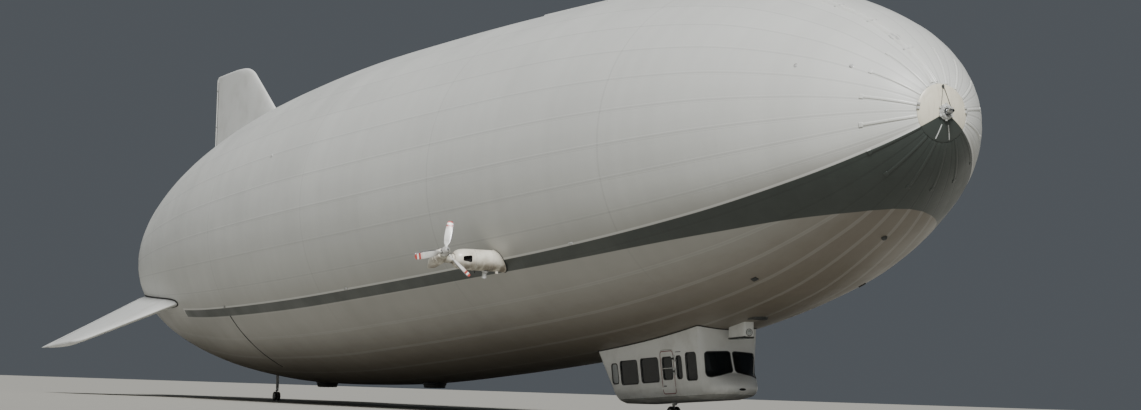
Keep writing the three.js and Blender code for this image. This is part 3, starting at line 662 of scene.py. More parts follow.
def stripe_group():
    """The dark band's mask and a thin line along its upper edge, from the distances kept in the mesh."""
    group, w, (top, belly), out = node_group("Stripe", "Top:value Belly:value", "Mask:value Line:value")
    w.put(out["Mask"], w.remap(w.calc("MINIMUM", top, belly), -0.012, 0.012))
    near = w.remap(w.calc("ABSOLUTE", top + 0.045), 0.03, 0.05, 1, 0)
    w.put(out["Line"], near * w.remap(belly, 0.0, 0.05))
    return group


GROUPS = {"Weather": weather_group, "Fine grain": grain_group, "Worn edges": worn_edge_group,
          "Stripe": stripe_group}


def start_finish(name, **constants):
    """A new material with its Principled shader; constants are set on the shader's own sockets."""
    finish = bpy.data.materials.new(name)
    finish.use_nodes = True
    w = Wiring(finish.node_tree)
    shader = finish.node_tree.nodes["Principled BSDF"].inputs
    for key, value in constants.items():
        w.put(shader[key.replace("_", " ")], value)
    return finish, w, shader, w.level()


def surface(w, shader, look, roughness, height, relief):
    """What every finish ends with: its colour, its roughness and its relief."""
    w.put(shader["Base Color"], look)
    w.put(shader["Roughness"], roughness)
    w.put(shader["Normal"], w.bump(height, relief))


def grained(w, shader, place, look, weather, roughness, grain, relief):
    """A surface dulled by its weather, with fine grain in it."""
    dull = w.calc("ADD", weather["Dullness"], roughness, clamp=True)
    surface(w, shader, look, dull, w.use("Fine grain", place=place, size=grain)["Height"], relief)


def painted(name, colour, dirt, amount, size, roughness, grain=0.02, relief=0.0008, worn=0.0,
            bare=(0.35, 0.35, 0.34), metal=0.0, soot=None, **constants):
    """Paint or bare stuff with weather, grain and worn edges; faces that look down can be darkened in noisy
    smears, as painted shade with some soot.
    """
    finish, w, shader, place = start_finish(name, **constants)
    base = colour
    if soot:
        # painted shade with some soot: faces that look down are darkened in smears
        down = w.remap(w.split(w.geometry("Normal"))[2], -0.95, 0.15, 1, 0)
        smear = w.remap(w.noise(w.stretched(place, 0.7, 3.0, 3.0), 1.6, 4), 0.3, 0.62)
        base = w.blend(down * smear * soot[3], colour, srgb(*soot[:3]))
    weather = w.use("Weather", place=place, colour=base, dirt=dirt, amount=amount, size=size)
    look = weather["Colour"]
    if worn:
        look = w.blend(w.use("Worn edges", place=place, amount=worn)["Mask"], look, bare)
    w.put(shader["Metallic"], metal)
    grained(w, shader, place, look, weather, roughness, grain, relief)
    return finish


def hull_cloth():
    """Laminated cloth in gores: seams, hoop seams, patches of tone, a band, puckers, dirt streaks on the belly,
    and painted shade with some soiling that darkens the belly.
    """
    colours = sizes_of("hull")
    finish, w, shader, place = start_finish("hull_cloth", Coat_Weight=0.12, Coat_Roughness=0.35)
    _, y, z = w.split(place)
    gore, station, _ = w.split(w.result(w.add("ShaderNodeUVMap", {"uv_map": "surface"})))
    radius = w.calc("SQRT", y * y + z * z)
    width = radius * (2 * math.pi / GORES)
    across = w.calc("ABSOLUTE", w.calc("FRACT", gore + 0.5) - 0.5)
    seam = w.remap(across * width, 0.012, 0.05, 1, 0)
    tape = w.remap(across * width, 0.06, 0.075, 1, 0)
    along = w.calc("ABSOLUTE", w.calc("FRACT", (station - 11.85) / 12.05 + 0.5) - 0.5)
    hoop = w.remap(along * 12.05, 0.015, 0.07, 1, 0)
    cell = w.add("ShaderNodeCombineXYZ", _0=w.calc("FLOOR", gore), _1=w.calc("FLOOR", station / 6.02))
    gore_tone = w.add("ShaderNodeTexWhiteNoise", {"noise_dimensions": "2D"}, Vector=w.result(cell))
    tone = w.remap(w.result(gore_tone, "Value"), 0, 1, 0.965, 1.0)
    rings = w.remap(w.noise(w.stretched(place, 1.0, 0.02, 0.02), 1.1, 2), 0.3, 0.7, 0.965, 1.0)
    broad = w.remap(w.noise(place, 0.16, 4), 0.25, 0.75, 0.93, 1.0)
    pale = w.blend(1.0, colours.cloth, w.blend(tone * rings * broad, (0, 0, 0), (1, 1, 1)), "MULTIPLY")
    streak = w.remap(w.noise(w.stretched(place, 0.5, 2.4, 2.4), 0.9, 5, 0.65), 0.42, 0.7)
    side = z / radius
    pale = w.blend(streak * w.remap(side, -0.98, -0.55, 1, 0) * 0.22, pale, srgb(128, 116, 98))
    # painted shade with some soiling: the cloth turns darker and browner towards the bottom of the hull
    under = w.remap(side, -0.62, -0.3, 0.5, 0) + w.remap(side, -0.98, -0.6, 0.4, 0)
    pale = w.blend(under, pale, srgb(96, 86, 71))
    pale = w.blend(tape * 0.1, pale, srgb(232, 232, 228))
    lines = w.calc("ADD", seam * 0.2, hoop * 0.16, clamp=True)
    pale = w.blend(lines, pale, srgb(120, 121, 118))
    band = w.band()
    scuff = w.remap(w.noise(place, 1.3, 5, 0.7), 0.35, 0.75)
    dark = w.blend(scuff * 0.16, colours.stripe, srgb(78, 86, 80))
    dark = w.blend(seam * 0.25, dark, srgb(30, 34, 32))
    look = w.blend(band["Mask"], pale, dark)
    look = w.blend(band["Line"] * 0.55, look, srgb(236, 236, 232))
    gloss = 0.46 + w.remap(w.noise(place, 0.5, 3), 0.3, 0.7, -0.05, 0.08)
    pucker = w.noise(w.stretched(place, 3.2, 1.0, 1.0), 1.5, 3)
    near_seam = w.remap(across * width, 0.0, 0.3, 1, 0)
    height = pucker * near_seam * 0.5 + tape * 0.22 + w.noise(place, 0.8, 2) * 0.6
    height += w.noise(place, 60.0, 2) * 0.02
    surface(w, shader, look, gloss - band["Mask"] * 0.06, height, 0.012)
    return finish


def banded_paint(name, ground, stain, edge):
    """A paint with the hull's band over its lower part and stains running down; ground is its own colour."""
    finish, w, shader, place = start_finish(name, Coat_Weight=0.3, Coat_Roughness=0.2)
    pale = w.use("Weather", place=place, colour=ground, dirt=srgb(120, 108, 84), amount=stain, size=0.35)
    streak = w.remap(w.noise(w.stretched(place, 2.0, 9.0, 1.0), 1.5, 3), 0.52, 0.7)
    cream = w.blend(streak * stain, pale["Colour"], srgb(140, 128, 104))
    look = w.blend(w.band()["Mask"], cream, sizes_of("hull").stripe)
    worn = w.use("Worn edges", place=place, amount=edge)["Mask"]
    grained(w, shader, place, w.blend(worn, look, srgb(150, 150, 145)), pale, 0.38, 0.03, 0.001)
    return finish


def cone_paint():
    """The nose cone's cream."""
    return banded_paint("cone_paint", sizes_of("hull").cone, 0.14, 0.25)


def batten_paint():
    """Battens and raceway under the same cloth as the hull."""
    return banded_paint("batten_paint", sizes_of("hull").cloth, 0.08, 0.0)


def blade_paint():
    """White blades with red tip bands, a thin dark red line, a bare leading edge and oil near the root."""
    colours = sizes_of("engines")
    finish, w, shader, place = start_finish("blade_paint", Coat_Weight=0.4, Coat_Roughness=0.15)
    share = w.value("blade_share")
    tip = w.remap(share, 0.93, 0.936)
    second = w.remap(share, 0.81, 0.815) * w.remap(share, 0.872, 0.878, 1, 0)
    fade = w.remap(share, 0.7, 0.81) * w.remap(share, 0.81, 0.812, 0.35, 0)
    red = w.calc("ADD", w.calc("MAXIMUM", tip, second), fade, clamp=True)
    base = w.blend(red, colours.blade, colours.tip)
    oil = w.remap(share, 0.15, 0.5, 0.5, 0) * w.remap(w.noise(place, 5.0, 4), 0.4, 0.65)
    weather = w.use("Weather", place=place, colour=base, dirt=srgb(120, 112, 98), amount=0.22, size=0.3)
    look = w.blend(oil, weather["Colour"], srgb(70, 62, 52))
    bare = w.remap(w.value("blade_front"), 0.82, 0.9) * w.remap(share, 0.3, 0.34)
    w.put(shader["Metallic"], bare)
    grained(w, shader, place, w.blend(bare, look, srgb(150, 150, 152)), weather, 0.32, 0.02, 0.0006)
    return finish


def window_glass():
    """Tinted panes with a trace of dust in soft patches."""
    finish, w, shader, place = start_finish("window_glass", Transmission_Weight=0.82, IOR=1.28, Metallic=0.0)
    tint = sizes_of("gondola").glass
    weather = w.use("Weather", place=place, colour=tint, dirt=srgb(96, 98, 96), amount=0.12, size=0.5)
    gloss = w.remap(w.noise(place, 3.0, 4), 0.4, 0.7, 0.03, 0.09)
    surface(w, shader, weather["Colour"], gloss, w.noise(place, 0.9, 1), 0.002)
    return finish


def seat_cloth():
    """Woven seat cover: two crossed ribs with a soft fleck of lighter thread."""
    finish, w, shader, place = start_finish("seat_cloth", Sheen_Weight=0.4, Sheen_Roughness=0.5)
    x, y, z = w.split(place)
    warp = w.calc("SINE", (x + z) * 420.0)
    weft = w.calc("SINE", y * 420.0)
    weave = (warp * weft + 1.0) * 0.5
    fleck = w.remap(w.noise(place, 160.0, 2, 0.8), 0.55, 0.75)
    look = w.blend(weave * 0.3, sizes_of("gondola").seat, srgb(28, 34, 44))
    look = w.blend(fleck * 0.35, look, srgb(120, 132, 150))
    weather = w.use("Weather", place=place, colour=look, dirt=srgb(52, 50, 46), amount=0.2, size=0.3)
    dull = w.calc("ADD", weather["Dullness"], 0.8, clamp=True)
    surface(w, shader, weather["Colour"], dull, weave + w.noise(place, 12.0, 2), 0.0015)
    return finish


def tyre_rubber():
    """Black rubber, dusty on the tread, with fine scuffs round the side walls."""
    finish, w, shader, place = start_finish("tyre_rubber")
    dust = w.use("Weather", place=place, colour=srgb(30, 30, 31), dirt=srgb(112, 100, 80), amount=0.5,
                 size=0.12)
    scuff = w.remap(w.noise(w.stretched(place, 20.0, 90.0, 20.0), 1.0, 3, 0.7), 0.5, 0.75)
    look = w.blend(scuff * 0.3, dust["Colour"], srgb(70, 68, 64))
    dull = w.calc("ADD", dust["Dullness"], 0.68, clamp=True)
    surface(w, shader, look, dull, w.noise(place, 40.0, 3, 0.7), 0.003)
    return finish


OWN_FINISHES = (hull_cloth, cone_paint, batten_paint, blade_paint, window_glass, seat_cloth, tyre_rubber)

# The plainer paints, metals and plastics: colour or the setting that holds it, dirt, its amount and size,
# roughness, and what else painted takes
PLAIN_FINISHES = {
    "fin_paint": ("tail.paint", (120, 114, 98), 0.2, 1.6, 0.36,
                  dict(grain=0.05, relief=0.002, worn=0.3, Coat_Weight=0.25, Coat_Roughness=0.25)),
    # the pod's and swivels' downward faces get painted shade with some soot
    "pod_paint": ("engines.pod", (118, 100, 76), 0.35, 0.5, 0.36,
                  dict(soot=(84, 66, 48, 0.75), worn=0.4, Coat_Weight=0.3, Coat_Roughness=0.2)),
    # the gondola's downward faces get painted shade with some soot
    "gondola_paint": ("gondola.paint", (128, 120, 104), 0.2, 0.9, 0.3,
                      dict(soot=(96, 88, 74, 0.35), worn=0.25, Coat_Weight=0.35, Coat_Roughness=0.15)),
    "red_band": ("gondola.band", (60, 30, 26), 0.3, 0.2, 0.38, dict(Coat_Weight=0.2)),
    "rubber_seal": ((28, 29, 30), (82, 80, 74), 0.35, 0.15, 0.6, {}),
    "dark_plastic": ((44, 47, 47), (92, 88, 78), 0.35, 0.25, 0.5, dict(worn=0.4, bare=srgb(110, 112, 110))),
    # near black: inside holes, bores, intakes, vents and slots it is painted shade; on the console's instrument
    # faces it is their own black
    "opening": ((16, 16, 17), (40, 36, 30), 0.5, 0.2, 0.8, {}),
    "cast_metal": ((118, 120, 122), (52, 44, 36), 0.6, 0.15, 0.42,
                   dict(grain=0.006, relief=0.002, metal=0.85)),
    "bright_steel": ((176, 178, 180), (96, 88, 76), 0.35, 0.12, 0.26,
                     dict(grain=0.004, relief=0.0005, metal=1.0)),
    "gear_paint": ((196, 197, 194), (72, 62, 50), 0.5, 0.14, 0.38,
                   dict(worn=0.6, bare=srgb(130, 130, 132), Coat_Weight=0.2)),
    "cabin_lining": ((168, 167, 162), (110, 104, 94), 0.25, 0.4, 0.7, dict(grain=0.01, relief=0.001)),
    "cabin_floor": ((74, 78, 84), (120, 112, 98), 0.4, 0.35, 0.85, dict(grain=0.008, relief=0.003)),
    "frosted": ((188, 192, 192), (140, 142, 138), 0.4, 0.2, 0.45, dict(Transmission_Weight=0.3)),
    "lamp_glass": ((226, 232, 232), (150, 146, 130), 0.3, 0.1, 0.12,
                   dict(Transmission_Weight=0.6, Coat_Weight=0.5)),
    "stage_floor": ("stage.floor", (150, 148, 142), 0.12, 9.0, 0.75, dict(grain=0.4, relief=0.004)),
}


def material(name):
    """A finish by name, made when it is first asked for."""
    made = bpy.data.materials.get(name)
    if made:
        return made
    if name not in PLAIN_FINISHES:
        return {make.__name__: make for make in OWN_FINISHES}[name]()
    colour, dirt, *rest, more = PLAIN_FINISHES[name]
    if isinstance(colour, str):
        group, setting = colour.split(".")
        colour = getattr(sizes_of(group), setting)
    else:
        colour = srgb(*colour)
    return painted(name, colour, srgb(*dirt), *rest, **more)


def with_hull_values(patch):
    """A patch that carries its distances inside the stripe."""
    patch.values.update(hull_values(patch.points))
    return patch


def set_on_hull(patch, station, angle):
    """A patch drawn about the origin, x forward along the skin and z outwards, moved onto the hull."""
    base = on_hull(station, angle)
    up = on_hull(station, angle, 1.0) - base
    front = on_hull(station - 0.01, angle) - base
    front -= up * (front @ up)
    front /= np.linalg.norm(front)
    side = np.cross(up, front)
    return patch.moved(lambda p: base + p[:, :1] * front + p[:, 1:2] * side + p[:, 2:] * up)


def hull_stations(count):
    """Stations that stand closer together towards the nose and the tail."""
    fine = np.linspace(NOSE_RIM, TAIL_RIM, 4000)
    density = 1 + 4 * np.exp(-(fine - NOSE_RIM) / 2.5) + 2 * np.exp(-(TAIL_RIM - fine) / 3)
    total = np.cumsum(density)
    return np.interp(np.linspace(total[0], total[-1], count), total, fine)


def skin_patch(relief):
    """The hull's radius at each station, drawn in along the seams.

    Across a gore the skin stands in by relief times one less a power of the sine of the place in the gore.
    """
    gore = np.append((np.arange(GORES)[:, None] + np.array(GORE_PLACES)).ravel(), GORES)
    station = hull_stations(261)
    swell = relief * (np.abs(np.sin(np.pi * gore)) ** 0.7 - 1)
    grid = on_hull(station[:, None], FIRST_SEAM + GORE_ANGLE * gore[None], swell[None])
    nose, tail = grid[:1], grid[-1:]
    inside = [nose * (1, 0, 0) - (0.06, 0, 0), nose * (1, 0.6, 0.6) - (0.06, 0, 0)]
    behind = [tail * (1, 0.6, 0.6) + (0.06, 0, 0), tail * (1, 0, 0) + (0.06, 0, 0)]
    points = np.concatenate([*inside, grid, *behind])
    ends = np.concatenate([[station[0]] * 2, station, [station[-1]] * 2])
    uv = np.stack(np.broadcast_arrays(gore[None], ends[:, None]), -1)
    return sheet(points, uv=uv, **hull_values(points)).closed()


def hull_strip(stations, angles, section):
    """A raised strip on the skin: its section is carried along stations and angles."""
    path = on_hull(stations, angles)
    lean = on_hull(stations, angles, 1.0) - path
    return with_hull_values(carried(path, section, lean))


def low_ridge(half, tall):
    """A flat-footed section whose top is tall times the root of one less the place squared."""
    u = np.linspace(-1, 1, 9)
    top = np.stack([half * u, tall * np.sqrt(np.maximum(1 - u ** 2, 0))], 1)
    return np.concatenate([top, [[half, -0.02], [-half, -0.02]]])


def raceway_section():
    """A flat strip with two rounded ridges, each a bell curve of the distance from its own line."""
    u = np.linspace(-0.15, 0.15, 31)
    top = 0.012 + 0.034 * (np.exp(-((u - 0.085) / 0.032) ** 2) + np.exp(-((u + 0.085) / 0.032) ** 2))
    edge = np.clip((0.15 - np.abs(u)) / 0.02, 0, 1)
    return np.concatenate([np.stack([u, top * edge], 1), [[0.15, -0.03], [-0.15, -0.03]]])


def ring_of(patch, centre, radius, count, first=0.0):
    """Copies of a small patch round the x axis, drawn at the top of the circle."""
    lifted = patch.shifted(0, 0, radius)
    return [lifted.spun("x", 360 * k / count + first).shifted(*centre) for k in range(count)]


def bolt_head(radius, tall, axis="x", finish=0):
    """A six-sided head with its corner taken off."""
    profile = [(-tall, 0), (-tall, radius), (0.7 * tall, radius), (tall, 0.75 * radius), (tall, 0)]
    return turned(profile, 6, axis=axis, finish=finish)


def cone_profile():
    """The cone follows the hull, 12 mm proud, with a groove behind its middle and a rolled rim."""
    stations = np.linspace(0.17, 0.435, 22) ** 2
    radii = hull_radius(stations) + 0.012
    groove = 0.012 * np.exp(-((radii - 0.74) / 0.012) ** 2)
    skin = np.stack([ahead(stations) + 0.008, radii - groove], 1)
    boss = [(0.02, 0), (0.02, 0.235), (0.008, 0.25), (-0.012, 0.262)]
    front = [(LIFT_STATION + along, r) for along, r in boss]
    rim = [(ahead(0.2), 0.905), (ahead(0.222), 0.912), (ahead(0.235), 0.9)]
    return np.concatenate([front, skin, rim, [(ahead(0.235), 0)]])


def pad_on_hull(half_length, half_width, foot, top, radius, station, angle, finish=0):
    """A small rounded block that stands on the hull."""
    pad = block((-half_length, -half_width, foot), (half_length, half_width, top), radius, finish=finish)
    return set_on_hull(pad, station, angle)


def disc(profile, sides):
    """A small body turned about z."""
    return turned(profile, sides, axis="z")


BATTEN_ANGLES = -12.2 + 22.5 * np.arange(16)
RACEWAY_ANGLE = -75


def make_hull_skin(sizes):
    make_piece("hull_skin", [skin_patch(sizes.gore_relief)], "hull_cloth", replaces="envelope",
               crease=60)
    run, ridge = np.linspace(NOSE_RIM + 0.02, sizes.batten_end, 16), low_ridge(0.05, sizes.batten_height)
    foot = block((-0.09, -0.075, -0.02), (0.05, 0.075, 0.02), 0.018)
    battens = [hull_strip(run, np.full(16, angle), ridge) for angle in BATTEN_ANGLES]
    battens += [with_hull_values(set_on_hull(foot, sizes.batten_end, angle)) for angle in BATTEN_ANGLES]
    make_piece("nose_battens", battens, "batten_paint")
    raceway = hull_strip(np.linspace(0.24, sizes.raceway_end, 150), np.full(150, RACEWAY_ANGLE),
                         raceway_section())
    make_piece("cable_raceway", [raceway], "batten_paint", crease=50)
    clips = [pad_on_hull(0.035, 0.19, -0.01, 0.022, 0.01, station, RACEWAY_ANGLE)
             for station in np.arange(1.2, sizes.raceway_end, 1.6)]
    make_piece("raceway_clips", clips, "gear_paint")
    oval = disc([(-0.02, 0), (-0.02, 0.17), (0.008, 0.17), (0.02, 0.15), (0.026, 0)], 40)
    dot = disc([(-0.02, 0), (-0.02, 0.07), (0.008, 0.07), (0.018, 0.05), (0.02, 0)], 24)
    fittings = [set_on_hull(oval.moved(lambda p: p * (1.5, 1, 1)), 1.77, RACEWAY_ANGLE)]
    fittings += [set_on_hull(dot, *place) for place in ((3.47, -27), (1.85, -34), (40.6, -21))]
    fittings += [pad_on_hull(0.12, 0.05, -0.02, 0.05, 0.02, station, angle)
                 for station in (48.2, 33.3, 14.7) for angle in (STRIPE_TOP - 0.6, 180.6 - STRIPE_TOP)]
    make_piece("hull_fittings", fittings, "gear_paint")
    line = hull_strip(np.full(40, 48.1), np.linspace(35, 64, 40), low_ridge(0.022, 0.022))
    make_piece("belly_line", [line], "rubber_seal")


NOSE = (LIFT_STATION, 0, 0)


def make_nose(sizes):
    parts = [with_hull_values(turned(cone_profile(), 128))]
    run = np.linspace(0.2, 0.43, 12) ** 2
    for angle in (90 - 17, 90 + 17):
        lean = on_hull(run, angle, 1.0) - on_hull(run, angle)
        parts.append(carried(on_hull(run, angle, 0.014), low_ridge(0.016, 0.022), lean, finish=1))
    parts += [pad_on_hull(0.05, 0.045, -0.01, 0.06, 0.015, 0.2, angle, finish=1)
              for angle in (-14, -6, 186, 194)]
    make_piece("nose_cone_skin", parts, "cone_paint gear_paint", replaces="nose_cone")
    ring = tube([(0.0206, 0.12), (0.0206, 0.245), (0.034, 0.248), (0.046, 0.222), (0.1, 0.202),
                 (0.116, 0.192), (0.12, 0.18), (0.12, 0.14), (0.114, 0.126), (0.1, 0.12)], 64, NOSE)
    front = LIFT_STATION
    bolts = ring_of(bolt_head(0.013, 0.008, finish=1), (front + 0.122, 0, 0), 0.16, 12, 15)
    feet = ring_of(block((-0.03, -0.035, -0.03), (0.03, 0.035, 0.05), 0.01), (front + 0.045, 0, 0), 0.235, 6)
    make_piece("mooring_ring_cast", [ring, *feet, *bolts], "gear_paint dark_plastic",
               replaces="mooring_ring", crease=30)
    shaft = turned([(0.0206, 0), (0.0206, 0.09), (0.285, 0.09), (0.31, 0.084), (0.405, 0.054), (0.42, 0.048),
                    (0.42, 0.034), (0.4, 0.03), (0.33, 0.03), (0.33, 0)], 48, NOSE)
    collars = [tube([(at, 0.088), (at, 0.098), (at + 0.02, 0.098), (at + 0.02, 0.088)], 48, NOSE)
               for at in (0.13, 0.2)]
    make_piece("mooring_probe_turned", [shaft, *collars], "bright_steel", replaces="mooring_probe",
               crease=30)
    top = on_hull(0.165, -90, 0.05)
    a = full_turn(24)
    shackle = top + np.stack([0 * a, 0.035 * np.cos(a), 0.05 * np.sin(a)], 1)
    bridle = [carried(shackle, circle(0.01, 8), (1, 0, 0), closed=True)]
    bridle += [rod(top + (0.02, 0.02 * side, -0.04), (front + 0.06, 0.21 * side, 0.06), 0.009, 8)
               for side in (-1, 1)]
    bridle.append(pad_on_hull(0.05, 0.035, -0.02, 0.05, 0.012, 0.16, -90))
    make_piece("nose_bridle", bridle, "dark_plastic")


def belly_disc(station, radius, drop):
    """A flat-faced round fitting under the hull: its profile steps in once and rounds at its lower edge."""
    skin = -float(hull_radius(station))
    face = skin - drop
    foot = radius * 0.92
    profile = [(skin + 0.3, 0), (skin + 0.3, radius), (skin - drop * 0.35, radius),
               (skin - drop * 0.5, radius * 0.94), (face + 0.02, foot), (face, foot - 0.02), (face, 0)]
    return turned(profile, 64, (ahead(station), 0, 0), "z")


def make_belly_fitting(name, station):
    """A cast disc with its bolts and a seal that follows the hull round it."""
    x, face = ahead(station), -float(hull_radius(station)) - 0.198
    parts = [bolt_head(0.022, 0.01, "z", 1).shifted(x + 0.4 * math.cos(a), 0.4 * math.sin(a), face)
             for a in full_turn(12)]
    a = full_turn(20)
    along, y = 0.51 * np.cos(a), 0.51 * np.sin(a)
    foot = np.stack([x + along, y, -np.sqrt(hull_radius(station - along) ** 2 - y ** 2)], 1)
    skirt = carried(foot, circle(0.028, 8), (0, 0, 1), closed=True, finish=1)
    make_piece(f"{name}_cast", [belly_disc(station, 0.5, 0.2), skirt, *parts],
               "dark_plastic rubber_seal", replaces=name)


VALVE_STATION = 11.1
LIGHT_BOX = (11.65, 12.75)


def make_belly_fittings(sizes):
    make_belly_fitting("front_belly_fitting", 37.8)
    make_belly_fitting("rear_belly_fitting", 50.0)
    skin = -float(hull_radius(VALVE_STATION))
    centre = (ahead(VALVE_STATION), 0, skin)
    valve = [
        tube([(0.2, 0.29), (0.2, 0.35), (-0.02, 0.35), (-0.03, 0.34), (-0.03, 0.3), (-0.02, 0.29)], 56,
             centre, "z"),
        # a near-black disc behind the slats: painted shade inside the valve
        turned([(0.2, 0), (0.2, 0.3), (0.04, 0.3), (0.04, 0)], 40, centre, "z", 1),
    ]
    for place in np.linspace(-0.24, 0.24, 9):
        reach = math.sqrt(0.3 ** 2 - place ** 2)
        slat = block((place - 0.008, -reach, -0.022), (place + 0.012, reach, 0.05), 0.005)
        valve.append(slat.shifted(*centre))
    make_piece("gas_valve_grille", valve, "dark_plastic opening", replaces="gas_valve")
    front, rear = (ahead(station) for station in LIGHT_BOX)
    lamp = (front - 0.035, 0, -6.2)
    box = [
        block((rear, -0.2, -6.39), (front, 0.2, -5.62), 0.07, 4),
        block((rear - 0.005, -0.205, -6.4), (front + 0.005, 0.205, -6.33), 0.03, finish=1),
        block((rear + 0.1, -0.14, -6.405), (front - 0.1, 0.14, -6.36), 0.03, finish=2),
        turned([(0, 0), (0, 0.11), (0.03, 0.1), (0.05, 0.06), (0.055, 0)], 32, lamp, finish=2),
        tube([(0.005, 0.1), (0.005, 0.135), (0.035, 0.13), (0.04, 0.105)], 40, lamp, finish=1),
    ]
    make_piece("light_box_shell", box, "gondola_paint dark_plastic lamp_glass",
               replaces="light_box")
    dome = disc([(-0.03, 0), (-0.03, 0.1), (0.02, 0.1), (0.07, 0.07), (0.09, 0)], 32)
    sensors = [set_on_hull(dome, 3.37, 90)]
    sensors += [pad_on_hull(0.14, 0.08, -0.02, 0.03, 0.02, 7.83, angle) for angle in (113.8, 66.2)]
    make_piece("belly_sensors", sensors, "dark_plastic")


FIN_SHARES = (0, 0.015, 0.08, 0.25, 0.6, 1)
FIN_DEPTHS = (0, 0.35, 0.72, 1, 0.95, 0.15 / 0.26)
TIP_ROUND = 0.12


def tapered(near, far, r):
    """A size that falls evenly between 4 m and 10 m from the hull's axis."""
    return near + (far - near) * np.clip((np.asarray(r) - 4) / 6, 0, 1)


def fin_shape(share, r):
    """Station and half thickness of a fin: the root of a cubic through the squared depths.

    Towards the tip the thickness falls as a quarter of an ellipse.
    """
    front = curve_through(*np.array(FIN_EDGE).T, r)
    rear = HINGE - tapered(0.15, 0.075, r) - RUN_GAP
    depth = np.sqrt(np.maximum(curve_through(FIN_SHARES, np.square(FIN_DEPTHS), share), 0))
    tip = FIN_EDGE[-1][0]
    ease = np.sqrt(np.clip(1 - (np.clip(r - tip + TIP_ROUND, 0, None) / TIP_ROUND) ** 2, 0, 1))
    return front + share * (rear - front), depth * tapered(0.26, 0.13, r) * ease


def fin_root(share, sink):
    """Where the fin's surface meets the hull, found by repeated steps, then sunk."""
    r = np.full(share.shape, 5.5)
    for _ in range(30):
        station, half = fin_shape(share, r)
        r = 0.5 * r + 0.5 * np.sqrt(np.maximum(hull_radius(station) ** 2 - half ** 2, 0.1))
    return r - sink


def fin_patches():
    """One fin drawn upright: shares of the chord go round it, rows go from the hull to the tip."""
    share = (1 - np.cos(np.linspace(0, np.pi, 31))) / 2
    around = np.concatenate([share, share[::-1][:-1]])
    side = np.concatenate([np.ones(31), -np.ones(30)])
    root = fin_root(around, 0.08)
    rise = 1 - (1 - np.linspace(0, 1, 46)[:, None]) ** 1.8
    r = root + (FIN_EDGE[-1][0] - root) * rise
    station, half = fin_shape(np.broadcast_to(around, r.shape), r)
    grid = np.stack([ahead(station), side * half, r], -1)
    patches = [lofted(grid)]
    for place in LUGS:
        x = ahead(HINGE)
        patches.append(block((x, -0.035, place - 0.04), (x + 0.3, 0.035, place + 0.04), 0.008))
        patches.append(rod((x, 0, place - 0.04), (x, 0, place + 0.04), 0.035, 20))
    return patches


def fin_seal():
    """A dark beading where the fin stands on the hull."""
    share = (1 - np.cos(np.linspace(0, np.pi, 41))) / 2
    around = np.concatenate([share, share[::-1][1:-1]])
    side = np.concatenate([np.ones(41), -np.ones(39)])
    r = fin_root(around, -0.01)
    station, half = fin_shape(around, r)
    path = np.stack([ahead(station), side * (half + 0.012), r], -1)
    return carried(path, circle(0.035, 8), (0, 0, 1), closed=True)


def hinge_seal():
    """The dark line ahead of the hinge: a thin strip that tapers with the fin's rear edge."""
    low, high = SURFACE_SPAN[0] + 0.1, SURFACE_SPAN[1] - 0.25
    strip = block((ahead(HINGE) + 0.17, -1, low), (ahead(HINGE) + 0.23, 1, high), 0.01)
    return strip.moved(lambda p: np.stack([p[:, 0], p[:, 1] * tapered(0.158, 0.083, p[:, 2]), p[:, 2]], 1))


def surface_ring(r, cut, ease=1.0):
    """A control surface's outline: a half-round nose about the hinge, then flanks that run to a thin edge."""
    nose = float(tapered(0.15, 0.075, r))
    a = np.linspace(np.pi / 2, 3 * np.pi / 2, 15)
    round_station, round_y = HINGE + nose * np.cos(a), nose * np.sin(a)
    if cut:
        round_station = np.maximum(round_station, HINGE + 0.06)
    v = np.linspace(0, 1, 9)[1:]
    flank_y = nose * (1 - v) + 0.012 * v + 0.012 * np.sin(np.pi * v)
    station = np.concatenate([round_station, HINGE + SURFACE_CHORD * v, HINGE + SURFACE_CHORD * v[::-1]])
    y = np.concatenate([round_y, -flank_y, flank_y[::-1]])
    return np.stack([ahead(station), y * ease, np.full(len(y), r)], 1)


def control_surface_patches():
    """Rings along the span, with the nose cut back across each hinge lug, and a rounded tip."""
    low, high = SURFACE_SPAN
    rows = [(low, False)]
    for lug in LUGS:
        near, far = lug - 0.042, lug + 0.042
        rows += [(r, False) for r in np.linspace(rows[-1][0], near, 6)[1:]]
        rows += [(near, True), (far, True), (far, False)]
    rows += [(r, False) for r in np.linspace(rows[-1][0], high - 0.1, 4)[1:]]
    rings = [surface_ring(r, cut) for r, cut in rows]
    rings += [surface_ring(high - 0.1 + 0.1 * t, False, math.sqrt(1 - t * t))
              for t in (0.3, 0.55, 0.75, 0.9, 0.98)]
    edge = ahead(HINGE) - SURFACE_CHORD
    strip = block((edge - 0.004, -0.016, low + 0.1), (edge + 0.09, 0.016, high - 0.2), 0.006)
    return [lofted(np.stack(rings)), strip]


def at_fin(side, patch):
    """A patch drawn upright, turned about the hull's axis to its fin."""
    return patch.spun("x", FIN_TURNS[side] - 90)


def make_fins(sizes):
    for side in FIN_TURNS:
        body = [at_fin(side, patch) for patch in fin_patches()]
        make_piece(f"{side}_fin_skin", body, "fin_paint", replaces=f"{side}_fin", crease=40)
        seals = [at_fin(side, patch) for patch in (fin_seal(), hinge_seal())]
        make_piece(f"{side}_fin_seal", seals, "rubber_seal")


def make_control_surfaces(sizes):
    for side in FIN_TURNS:
        name, rest = ("rudder", RUDDER_REST) if side == "top" else (f"{side}_elevator", 0)
        hinge = (ahead(HINGE), 0, 0)
        body = [at_fin(side, patch.spun("z", -rest, hinge)) for patch in control_surface_patches()]
        make_piece(f"{name}_skin", body, "fin_paint", replaces=name, body=name, crease=40)


def mirror_for(side, patches):
    """Patches drawn to starboard, turned over for the port side."""
    return patches if side == "starboard" else [patch.mirrored() for patch in patches]


POD_SHOULDER = POD["outboard"] - 0.55
